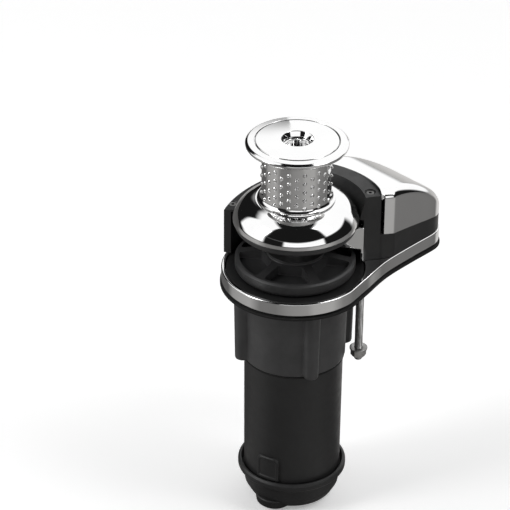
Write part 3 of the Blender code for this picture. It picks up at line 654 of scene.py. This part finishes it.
# ---- stripper, arm and pin ----
finger = [(63.3, 57.0), (63.3, 21.0), (60.6, 21.0), (60.6, 34.0), (58.0, 34.0), (33.5, 38.5), (33.5, 44.5), (57.6, 56.5)]
rounds = (1.0, 1.0, 0.6, 1.2, 2.0, 1.6, 1.6, 4.0)
line = filleted([(x, z, r) for (x, z), r in zip(finger, rounds)], True, 0.2, 4)
area = sum(a[0] * b[1] - b[0] * a[1] for a, b in zip(line, line[1:] + line[:1]))
if area < 0:
    line.reverse()
bm = prism(line, -3.0, 3.0, 0.8, 0.8)
bmesh.ops.transform(bm, matrix=Matrix.Rotation(math.radians(4.5), 4, "Z") @ Matrix.Rotation(math.radians(90), 4, "X"), verts=bm.verts)
stripper = put("stripper_skin", bm, CHROME)
finish_shade(stripper)
place(stripper, "base", ("chain_stripper",))

ARM_PIVOT, ARM_TIP = (84.0, 39.0), (41.0, 28.0)
lathe(
    "arm_pin_skin", [(0.0, 52.0, 0), (3.0, 52.0, 0.6), (3.0, 20.2, 0.1), (5.0, 20.2, 0.5), (5.0, 17.3, 0.2), (0.0, 17.3, 0)],
    36, STEEL, "base", ("arm_pin",), centre=ARM_PIVOT,
)
reach = (ARM_TIP[0] - ARM_PIVOT[0], ARM_TIP[1] - ARM_PIVOT[1])
length = math.hypot(*reach)
boss = [(5.8 * math.cos(math.radians(35 + 290 * i / 40)), 5.8 * math.sin(math.radians(35 + 290 * i / 40))) for i in range(41)]
lever = boss + filleted(
    [(boss[-1][0], boss[-1][1], 0), (10.0, -2.6, 3.0), (length - 6.0, -2.2, 3.0), (length - 1.0, -3.4, 1.2), (length + 1.0, -1.6, 1.2), (length + 1.0, 1.8, 1.2), (length - 3.0, 3.2, 2.0), (10.0, 3.0, 3.0), (boss[0][0], boss[0][1], 0)],
    False, 0.2, 4,
)[1:-1]
bm = prism(lever, 38.0, 43.6, 0.7, 0.7)
arm = put("pressure_arm_skin", bm, STEEL)
cut(arm, tapered(40, 3.1, 3.1, 30.0, 50.0))
arm.data.transform(Matrix.Translation((ARM_PIVOT[0] * MM, ARM_PIVOT[1] * MM, 0.0)) @ Matrix.Rotation(math.atan2(reach[1], reach[0]), 4, "Z"))
finish_shade(arm)
place(arm, "arm", ("pressure_arm",))

# ---- gypsy ----
PHASE = -9.0


def pocket(r0, r1, rib, z0, z1, degrees, corner=2.5):
    """A cutter for the space between two ribs of even width, its floor edge rounded."""
    open0, open1 = (30.0 - math.degrees(math.asin(rib / r)) for r in (r0, r1))
    shape = [(*polar(r0, -open0), corner)]
    shape += [(*polar(r1, -open1), corner)] + [(*polar(r1, t * open1), 0.0) for t in (-0.66, -0.33, 0.0, 0.33, 0.66)] + [(*polar(r1, open1), corner)]
    shape += [(*polar(r0, open0), corner)]
    shape = filleted(shape, True, 0.3, 5)
    a = math.radians(degrees)
    loops = []
    for inset, z in ((1.4, z0), (0.4, z0 + 0.4), (0.0, z0 + 1.4), (0.0, z1)) if z1 > z0 else ((0.0, z1), (0.0, z0 - 1.4), (0.4, z0 - 0.4), (1.4, z0)):
        loops.append([(x * math.cos(a) - y * math.sin(a), x * math.sin(a) + y * math.cos(a), z) for x, y in offset(shape, -inset)])
    return walls(loops)


lower = put(
    "gypsy_lower_skin",
    turned(
        filleted(
            [(27.0, 33.4, 1.0), (54.2, 28.4, 1.2), (56.3, 27.0, 1.0), (56.3, 19.6, 1.6), (54.8, 17.0, 0.5), (26.6, 17.0, 0.2), (20.6, 29.6, 0.3), (13.2, 29.6, 0.2), (13.2, 36.0, 0.2), (27.0, 36.0, 0.4)],
            True, 0.3, 4,
        ),
        180,
    ),
    GYPSY,
)
upper = put(
    "gypsy_upper_skin",
    turned(
        filleted(
            [(55.0, 65.9, 0.6), (56.0, 64.9, 0.8), (56.0, 61.4, 1.0), (54.2, 59.6, 1.0), (27.0, 49.0, 1.0), (27.0, 46.4, 0.3), (13.2, 46.4, 0.2), (13.2, 52.0, 0.2), (20.7, 52.0, 0.2), (26.7, 65.9, 0.3)],
            True, 0.3, 4,
        ),
        180,
    ),
    GYPSY,
)
for i in range(6):
    a = PHASE + 30 + 60 * i
    cut(lower, pocket(30.5, 52.2, 4.2, 23.0, 40.0, a))
    cut(upper, pocket(30.5, 52.2, 4.2, 60.5, 44.0, a))
soft_edges(lower, 0.7, 2, 36.0)
soft_edges(upper, 0.6, 2, 36.0)
place(lower, "gypsy", ("gypsy_lower",))
place(upper, "gypsy", ("gypsy_upper",))

teeth = []
for i in range(18):
    a = 20.0 * i + PHASE
    teeth += [(*polar(30.15, a), 0.6), (*polar(25.6, a + 7.0), 1.2), (*polar(25.9, a + 13.0), 1.2)]
grip = put("rope_grip_skin", prism(filleted(teeth, True, 0.15, 3), 36.35, 46.05, 2.2, 0.7, 5), GRIP)
cut(grip, tapered(72, 13.2, 13.2, 30.0, 50.0))
finish_shade(grip)
place(grip, "gypsy", ("rope_grip_ring",))

# ---- dome, drum, cap, nut ----
crown = curve_through([(36.6, 90.1), (39.2, 89.35), (43.4, 87.65), (49.2, 84.0), (54.2, 78.6), (57.4, 72.9), (58.35, 70.0), (58.6, 67.0)], 7)
key_cut = [(7.9, -2.5), (12.6, -2.5), (12.6, 2.5), (7.9, 2.5)]
dome_profile = (
    [(37.6, 89.8, 0.3)] + [(r, z, 0.0) for r, z in crown[1:]]
    + [(58.4, 69.6, 0.0), (58.4, 67.2, 0.7), (55.6, 66.6, 0.4), (50.4, 77.0, 2.0), (31.0, 85.4, 1.0), (31.0, 66.6, 0.5), (26.2, 66.2, 0.5), (20.2, 52.4, 0.4), (10.08, 52.4, 0.2), (10.08, 89.8, 0.2)]
)
dome = put("dome_skin", turned(filleted(dome_profile, True, 0.2, 5), 200), CHROME, sharp=40.0)
cut(dome, walls([[(x, y, z) for x, y in key_cut] for z in (50.0, 95.0)]))
finish_shade(dome, 40.0)
place(dome, "drum", ("clutch_dome",))

PIPS, ROWS, PITCH, TURN = 28, 5, 8.6, math.radians(-3.6)


def with_pips(r, z, a):
    """The barrel's radius with the nearest pip standing on it."""
    if r < 31.7 or z > 138.0 or z < 92.5:
        return r
    a -= TURN
    column = int(round(a / (2 * math.pi) * PIPS - 0.25)) % PIPS
    da = (a - 2 * math.pi * (column + 0.25) / PIPS + math.pi) % (2 * math.pi) - math.pi
    first = 95.8 + PITCH * 0.5 * (column % 2)
    row = min(max(round((z - first) / PITCH), 0), ROWS - 1 - column % 2)
    dz = z - first - PITCH * row
    d = math.hypot(da * 32.2, dz) / 1.85
    if d >= 1.0:
        return r
    top = 0.4 if row == 0 and column % 2 == 0 else 0.0
    return max(r, 32.2 + top - 0.15 + 1.3 * (1 - d**2.2) ** 0.62)


barrel = [(32.22, 134.0 - 0.42 * k) for k in range(1, 86)]
neck = curve_through([(48.0, 146.6), (46.7, 145.1), (37.4, 142.7), (33.6, 139.3), (32.4, 136.2), (32.2, 134.0), (32.2, 132.0)], 6)
foot = curve_through([(32.2, 99.5), (32.25, 97.6), (32.45, 95.9), (33.0, 94.1), (34.2, 92.3), (36.0, 91.3), (36.4, 91.0)], 6)
drum_profile = (
    [(39.2, 150.2, 0.45), (45.3, 149.75, 1.2), (47.5, 147.9, 1.3), (47.3, 146.0, 0.8)]
    + [(r, z, 0.0) for r, z in neck[:-1]]
    + [(r, z, 0.0) for r, z in barrel]
    + [(r, z, 0.0) for r, z in foot]
    + [(36.4, 90.1, 0.3), (28.6, 90.1, 0.3), (22.0, 134.0, 1.0), (14.6, 90.1, 0.3), (10.08, 90.1, 0.2), (10.08, 128.3, 0.1), (16.0, 128.3, 0.1), (16.0, 145.9, 0.1), (39.2, 145.9, 0.1)]
)
drum = put("drum_skin", turned(filleted(drum_profile, True, 0.2, 5), PIPS * 16, with_pips), CHROME_DRUM, sharp=44.0)
cut(drum, walls([[(x, y, z) for x, y in key_cut] for z in (88.0, 130.0)]))
drum.data.shade_smooth()
drum.data.set_sharp_from_angle(angle=math.radians(44))
place(drum, "drum", ("capstan_drum",))

lathe(
    "drum_cap_skin",
    [(14.8, 151.68, 0.7), (20.0, 151.5, 3.0), (30.0, 150.9, 3.0), (37.9, 150.25, 0.5), (38.4, 149.7, 0.4), (38.4, 146.2, 0.3), (12.6, 146.2, 0.2), (12.7, 147.0, 0.6)],
    160, CHROME, "drum", ("drum_cap",),
)
nut = put(
    "clutch_nut_skin",
    turned(filleted([(0.0, 145.6, 0), (15.2, 145.6, 0.3), (15.7, 145.1, 0.3), (15.7, 128.6, 0.3), (10.08, 128.6, 0.2), (10.08, 137.2, 0.2), (0.0, 137.2, 0)], False, 0.2, 4), 120),
    CHROME_DRUM,
)
star = filleted([(*polar(11.4 if i % 2 == 0 else 8.9, 22.5 * i), 0.4 if i % 2 == 0 else 0.9) for i in range(16)], True, 0.1, 3)
loops = [[(x * k, y * k, z) for x, y in star] for k, z in ((1.0, 139.0), (1.0, 145.1), (1.045, 145.65), (1.045, 150.0))]
cut(nut, walls(loops))
finish_shade(nut)
place(nut, "clutch_nut", ("clutch_nut",))

# ---- below the deck ----
LUGS = (-72.0, 18.0, 108.0, 198.0)


def with_lugs(r, z, a):
    if r < 47.0 or z > 0.0 or z < -76.0:
        return r
    best = r
    for lug in LUGS:
        d = (a - math.radians(lug) + math.pi) % (2 * math.pi) - math.pi
        rho = 6.8 + 1.4 * (z + 75.6) / 74.6
        if z < -72.6:
            rho -= 2.2 - math.sqrt(max(0.0, 2.2**2 - min(2.2, max(0.0, -73.4 - z)) ** 2))
        if z > -4.0:
            rho -= 3.5 * ((z + 4.0) / 4.0) ** 2
        c = 51.2
        s = c * math.sin(abs(d)) if abs(d) < 0.5 else 99.0
        if s < rho:
            reach_out = c * math.cos(d) + math.sqrt(rho**2 - s**2)
        else:
            reach_out = c * math.cos(d) - (s - rho) * 3.0 if abs(d) < 0.5 else 0.0
        k = 1.1
        h = max(0.0, k - abs(best - reach_out)) / k
        best = max(best, reach_out) + h * h * k * 0.25
    return best


wall = [(50.0 - 1.1 * k / 40, -1.0 - 74.0 * k / 40, 0.0) for k in range(1, 40)]
lathe(
    "gearbox_skin",
    [(50.0, 8.7, 0.6), (50.0, -1.0, 0.0)] + wall + [(48.9, -74.6, 0.0), (48.55, -75.5, 0.0), (47.9, -76.0, 0.0), (45.3, -76.0, 0.3), (45.3, -6.0, 0.5), (16.15, -6.0, 0.2), (16.15, 8.7, 0.2)],
    360, HOUSING, "base", ("gearbox_housing",), radius=with_lugs, sharp=50.0,
)
tube_wall = [(46.9 - 0.6 * k / 12, -78.4 - 125.3 * k / 12, 0.0) for k in range(1, 12)]
lathe(
    "motor_tube_skin",
    [(46.9, -78.4, 0.5)] + tube_wall + [(46.3, -203.7, 0.4), (43.0, -203.7, 0.2), (43.0, -78.4, 0.2)],
    144, MOTOR, "base", ("motor_tube",),
)
lathe(
    "motor_gasket_skin", [(48.2, -76.35, 0.25), (48.2, -78.05, 0.25), (40.0, -78.05, 0.1), (40.0, -76.35, 0.1)],
    120, RUBBER, "base", ("motor_gasket",),
)

# the cover of the terminals: a curved pad with a raised border
pad = bmesh.new()
rows = []
A0, A1, Z0, Z1, EDGE = -134.5, -105.5, -197.6, -172.5, 1.0
NA, NZ = 60, 52
for j in range(NZ + 1):
    row = []
    for i in range(NA + 1):
        a = A0 + (A1 - A0) * i / NA
        z = Z0 + (Z1 - Z0) * j / NZ
        arc_in = min(a - A0, A1 - a) * math.radians(48.0)
        d = min(arc_in, Z1 - z, (z - Z0) + 0.6)
        corner = 6.5
        if arc_in < corner and Z1 - z < corner:
            d = corner - math.hypot(corner - arc_in, corner - (Z1 - z))
        rise = 2.0 * min(1.0, max(0.0, d / 1.0 + 0.1)) ** 0.5
        if 3.0 < d:
            rise -= 0.7 * min(1.0, (d - 3.0) / 0.7)
        rise = max(0.15, rise)
        row.append(pad.verts.new((*[c * MM for c in polar(46.75 + rise, a)], z * MM)))
    rows.append(row)
inner_rows = [[pad.verts.new((*[c * MM for c in polar(46.72, A0 + (A1 - A0) * i / NA)], (Z0 + (Z1 - Z0) * j / NZ) * MM)) for i in range(NA + 1)] for j in range(NZ + 1)]
for grid_rows, flip in ((rows, False), (inner_rows, True)):
    for j in range(NZ):
        for i in range(NA):
            f = (grid_rows[j][i], grid_rows[j][i + 1], grid_rows[j + 1][i + 1], grid_rows[j + 1][i])
            pad.faces.new(f[::-1] if flip else f)
for j in range(NZ):
    for i in (0, NA):
        pad.faces.new((rows[j][i], rows[j + 1][i], inner_rows[j + 1][i], inner_rows[j][i]))
for i in range(NA):
    for j in (0, NZ):
        pad.faces.new((rows[j][i], rows[j][i + 1], inner_rows[j][i + 1], inner_rows[j][i]))
put("terminal_cover_skin", pad, CAP_PAINT, "base", ("terminal_cover",), sharp=60.0)

cap = put(
    "end_cap_skin",
    turned(
        filleted(
            [(0.0, -198.6, 0), (50.6, -198.6, 0.8), (52.15, -200.8, 1.4), (52.15, -204.8, 1.4), (50.6, -207.0, 1.2), (47.4, -209.0, 1.5), (45.4, -222.0, 2.5), (40.4, -231.0, 2.5), (0.0, -231.0, 0)],
            False, 0.3, 4,
        ),
        160,
    ),
    CAP_PAINT,
)
cut(cap, turned(filleted([(0.0, -222.0, 0), (19.0, -224.5, 1.5), (18.0, -232.6, 1.0), (15.0, -235.38, 1.2), (0.0, -235.38, 0)], False, 0.3, 4), 64, None, (-16.0, -24.0)), "UNION")
cut(cap, turned([(0.0, -190.0), (49.6, -190.0), (49.0, -200.2), (47.0, -202.6), (47.0, -204.2), (41.0, -204.2), (41.0, -222.0), (16.0, -222.0), (16.0, -206.0), (11.1, -206.0), (11.1, -217.0), (0.0, -217.0)], 120))
finish_shade(cap)
place(cap, "base", ("end_cap",))

# studs with a rolled thread, washers and nuts
THREAD = 1.25


def threaded(r, z, a):
    if r < 3.5 or z > -6.0 or z < -88.2:
        return r
    t = (z / THREAD + a / (2 * math.pi)) % 1.0
    fade = min(1.0, max(0.0, (-6.0 - z) / 1.5), max(0.0, (z + 88.2) / 0.8))
    return r - 0.62 * fade * (1.0 - abs(2.0 * t - 1.0)) ** 0.8


for i, (a, r) in enumerate(STUDS, 1):
    at = polar(r, a)
    count = int((88.4 - 4.0) / 0.21)
    shank = [(4.0, -4.0 - 0.21 * k) for k in range(count)]
    profile = [(0.0, 8.4), (3.7, 8.4), (4.0, 8.1), (4.0, 3.0)] + shank + [(3.3, -88.95), (3.1, -89.0), (0.0, -89.0)]
    put(f"stud_{i}_skin", turned(profile, 40, threaded, at), ZINC_THREAD, "base", (f"stud_{i}",), sharp=70.0)
    lathe(f"washer_{i}_skin", [(8.6, -76.0, 0.3), (8.6, -77.8, 0.3), (4.2, -77.8, 0.15), (4.2, -76.0, 0.15)], 48, ZINC, "base", (f"washer_{i}",), centre=at)
    hexagon = [(at[0] + 7.5 * math.cos(math.pi / 3 * k), at[1] + 7.5 * math.sin(math.pi / 3 * k)) for k in range(6)]
    nut_obj = put(f"nut_{i}_skin", walls([[(x, y, z) for x, y in hexagon] for z in (-84.6, -78.1)]), ZINC)
    cut(nut_obj, turned([(0.0, -77.0), (6.2, -78.05), (6.55, -78.1), (7.7, -78.75), (7.7, -83.95), (6.5, -84.6), (0.0, -84.62)], 72, None, at), "INTERSECT")
    cut(nut_obj, turned([(0.0, -76.0), (5.2, -76.0), (5.2, -77.9), (4.2, -78.9), (4.2, -83.8), (5.1, -84.7), (5.1, -86.0), (0.0, -86.0)], 40, None, at))
    finish_shade(nut_obj, 25.0)
    place(nut_obj, "base", (f"nut_{i}",))

# ---- carried-over CAD nodes, which lie inside ----
INSIDE = {
    "main_shaft": STEEL, "shaft_key": STEEL, "lower_clutch_cone": BRONZE, "upper_bearing": BRONZE, "shaft_seal": RUBBER,
    "ring_gear": STEEL, "carrier_output": STEEL, "carrier_first": STEEL, "armature_shaft": STEEL, "motor_flange": ZINC,
    "motor_top_bearing": ZINC, "motor_low_bearing": ZINC, "armature_core": STEEL, "commutator": COPPER,
    "brush_plate": PHENOLIC, "brush_1": CARBON, "brush_2": CARBON,
    "magnet_1": FERRITE, "magnet_2": FERRITE, "magnet_3": FERRITE, "magnet_4": FERRITE,
}
for name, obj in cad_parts.items():
    if obj.hide_render:
        continue
    mat = INSIDE.get(name, STEEL if name.startswith("planet") else HOUSING)
    if not obj.material_slots:
        obj.data.materials.append(mat)
    for held in obj.material_slots:
        held.material = mat

# ---- floor, with tones painted as reflections, and light ----
floor_z = -235.6
bm = bmesh.new()
bmesh.ops.create_grid(bm, x_segments=1, y_segments=1, size=8.0)
floor = put("floor", bm, None, smooth=False)
floor.location.z = floor_z * MM
floor_mat = bpy.data.materials.new("studio_floor")
floor_mat.use_nodes = True
tree = floor_mat.node_tree
tree.nodes.clear()
out = tree.nodes.new("ShaderNodeOutputMaterial")
seen = tree.nodes.new("ShaderNodeBsdfDiffuse")
seen.inputs["Color"].default_value = (0.93, 0.93, 0.93, 1.0)
glow = tree.nodes.new("ShaderNodeEmission")
glow.inputs["Strength"].default_value = 0.30
both = tree.nodes.new("ShaderNodeAddShader")
# Diffuse seen only by reflection and bounce rays, in grey bands by bearing: painted reflections on the chrome walls,
# the drum and the black tube
painted_reflection_floor = tree.nodes.new("ShaderNodeBsdfDiffuse")
spot = tree.nodes.new("ShaderNodeSeparateXYZ")
tree.links.new(tree.nodes.new("ShaderNodeNewGeometry").outputs["Position"], spot.inputs[0])
turn_front = tree.nodes.new("ShaderNodeMath")
turn_front.operation = "MULTIPLY"
turn_front.inputs[1].default_value = -1.0
tree.links.new(spot.outputs["Y"], turn_front.inputs[0])
bearing = tree.nodes.new("ShaderNodeMath")
bearing.operation = "ARCTAN2"
tree.links.new(spot.outputs["X"], bearing.inputs[0])
tree.links.new(turn_front.outputs[0], bearing.inputs[1])
around = tree.nodes.new("ShaderNodeMapRange")
around.inputs["From Min"].default_value = -math.pi
around.inputs["From Max"].default_value = math.pi
tree.links.new(bearing.outputs[0], around.inputs["Value"])
# Grey tone by bearing round the object, seen only in reflections: painted vertical highlights and darker bands on the
# chrome and black parts
painted_reflection_ramp = tree.nodes.new("ShaderNodeValToRGB")
PAINTED_REFLECTION_TONES = [(-180, 0.75), (-166, 0.50), (-156, 0.14), (-120, 0.14), (-106, 0.40), (-70, 0.46), (-52, 0.22), (-28, 0.22), (-10, 0.31), (18, 0.36), (28, 0.47), (56, 0.50), (76, 0.28), (112, 0.22), (126, 0.85), (180, 0.85)]
stops = painted_reflection_ramp.color_ramp.elements
while len(stops) < len(PAINTED_REFLECTION_TONES):
    stops.new(0.5)
for stop, (degrees, tone) in zip(stops, PAINTED_REFLECTION_TONES):
    stop.position = (degrees + 180.0) / 360.0
    stop.color = (tone, tone * 0.985, tone * 0.965, 1.0)
tree.links.new(around.outputs[0], painted_reflection_ramp.inputs[0])
tree.links.new(painted_reflection_ramp.outputs[0], painted_reflection_floor.inputs["Color"])
# Camera rays see the plain pale floor; all other rays see the painted reflection bands
path = tree.nodes.new("ShaderNodeLightPath")
choose = tree.nodes.new("ShaderNodeMixShader")
tree.links.new(seen.outputs[0], both.inputs[0])
tree.links.new(glow.outputs[0], both.inputs[1])
tree.links.new(path.outputs["Is Camera Ray"], choose.inputs[0])
tree.links.new(painted_reflection_floor.outputs[0], choose.inputs[1])
tree.links.new(both.outputs[0], choose.inputs[2])
tree.links.new(choose.outputs[0], out.inputs["Surface"])
floor.data.materials.append(floor_mat)

world = bpy.data.worlds.new("studio")
scene.world = world
world.use_nodes = True
wt = world.node_tree
wt.nodes.clear()
wout = wt.nodes.new("ShaderNodeOutputWorld")
sky = wt.nodes.new("ShaderNodeBackground")
wt.links.new(sky.outputs[0], wout.inputs["Surface"])


def wmath(how, a, b=None, clamp=False):
    node = wt.nodes.new("ShaderNodeMath")
    node.operation = how
    node.use_clamp = clamp
    for i, v in enumerate((a, b)):
        if v is None:
            continue
        if isinstance(v, (int, float)):
            node.inputs[i].default_value = v
        else:
            wt.links.new(v, node.inputs[i])
    return node.outputs[0]


def step(value, low, high):
    node = wt.nodes.new("ShaderNodeMapRange")
    node.interpolation_type = "SMOOTHSTEP"
    node.inputs["From Min"].default_value = low
    node.inputs["From Max"].default_value = high
    wt.links.new(value, node.inputs["Value"])
    return node.outputs["Result"]


where = wt.nodes.new("ShaderNodeTexCoord").outputs["Generated"]
split = wt.nodes.new("ShaderNodeSeparateXYZ")
wt.links.new(where, split.inputs[0])
X, Y, Z = split.outputs
flat = wmath("SQRT", wmath("ADD", wmath("ADD", wmath("MULTIPLY", X, X), wmath("MULTIPLY", Y, Y)), 1e-6))
front = wmath("DIVIDE", wmath("MULTIPLY", Y, -1.0), flat)  # 1 toward the camera's side, -1 behind


def z_of(degrees):
    return math.sin(math.radians(degrees))


side_turn = wmath("MULTIPLY", wmath("ARCTAN2", X, wmath("MULTIPLY", Y, -1.0)), 180.0 / math.pi)  # degrees round from the camera's side
ahead = wmath("ABSOLUTE", side_turn)
dark_front = wmath("MULTIPLY", wmath("SUBTRACT", 1.0, step(ahead, 55.0, 61.0)), step(Z, z_of(22), z_of(25)))
cap_side = wmath("SUBTRACT", 1.0, step(wmath("ABSOLUTE", X), 0.29, 0.37))
dark_top = wmath("MULTIPLY", step(Z, 0.89, 0.91), cap_side)
dark = wmath("MAXIMUM", dark_front, dark_top)
strip = wmath("MULTIPLY", wmath("MULTIPLY", step(side_turn, -25.0, -19.0), wmath("SUBTRACT", 1.0, step(side_turn, 49.0, 54.0))), wmath("MULTIPLY", step(Z, z_of(2), z_of(4)), wmath("SUBTRACT", 1.0, step(Z, z_of(22), z_of(25)))))
left = wmath("MULTIPLY", wmath("SUBTRACT", 1.0, step(side_turn, -62.0, -56.0)), wmath("MULTIPLY", step(side_turn, -121.0, -113.0), step(Z, z_of(1), z_of(5))))
right = wmath("MULTIPLY", step(side_turn, 112.0, 124.0), step(Z, z_of(-6), z_of(4)))
over = wmath("MULTIPLY", step(Z, z_of(14), z_of(28)), wmath("MAXIMUM", step(Z, z_of(22), z_of(27)), step(ahead, 124.0, 136.0)))
rear_left = wmath("MULTIPLY", wmath("MULTIPLY", step(side_turn, -176.0, -156.0), wmath("SUBTRACT", 1.0, step(side_turn, -121.0, -113.0))), wmath("SUBTRACT", 1.0, step(Z, z_of(42), z_of(54))))
open_sky = wmath("MAXIMUM", wmath("MAXIMUM", left, right), wmath("MULTIPLY", over, wmath("SUBTRACT", 1.0, rear_left)))
light = wmath("MAXIMUM", wmath("MULTIPLY", open_sky, wmath("SUBTRACT", 1.0, dark)), strip)
level = wmath("ADD", wmath("MULTIPLY", light, 1.45), 0.012)
wt.links.new(level, sky.inputs["Strength"])


def area_light(name, where_to, aim, size, watts):
    data = bpy.data.lights.new(name, "AREA")
    data.shape = "RECTANGLE"
    data.size, data.size_y = size
    data.energy = watts
    obj = bpy.data.objects.new(name, data)
    scene.collection.objects.link(obj)
    obj.location = where_to
    obj.rotation_mode = "QUATERNION"
    obj.rotation_quaternion = (Vector(aim) - Vector(where_to)).to_track_quat("-Z", "Y")
    return obj


area_light("softbox_left", (-1.9, -0.7, 1.3), (0.0, 0.0, 0.0), (0.7, 1.4), 16.0)
area_light("softbox_right", (1.6, -0.45, 2.2), (0.0, 0.0, 0.0), (0.6, 1.4), 12.0)
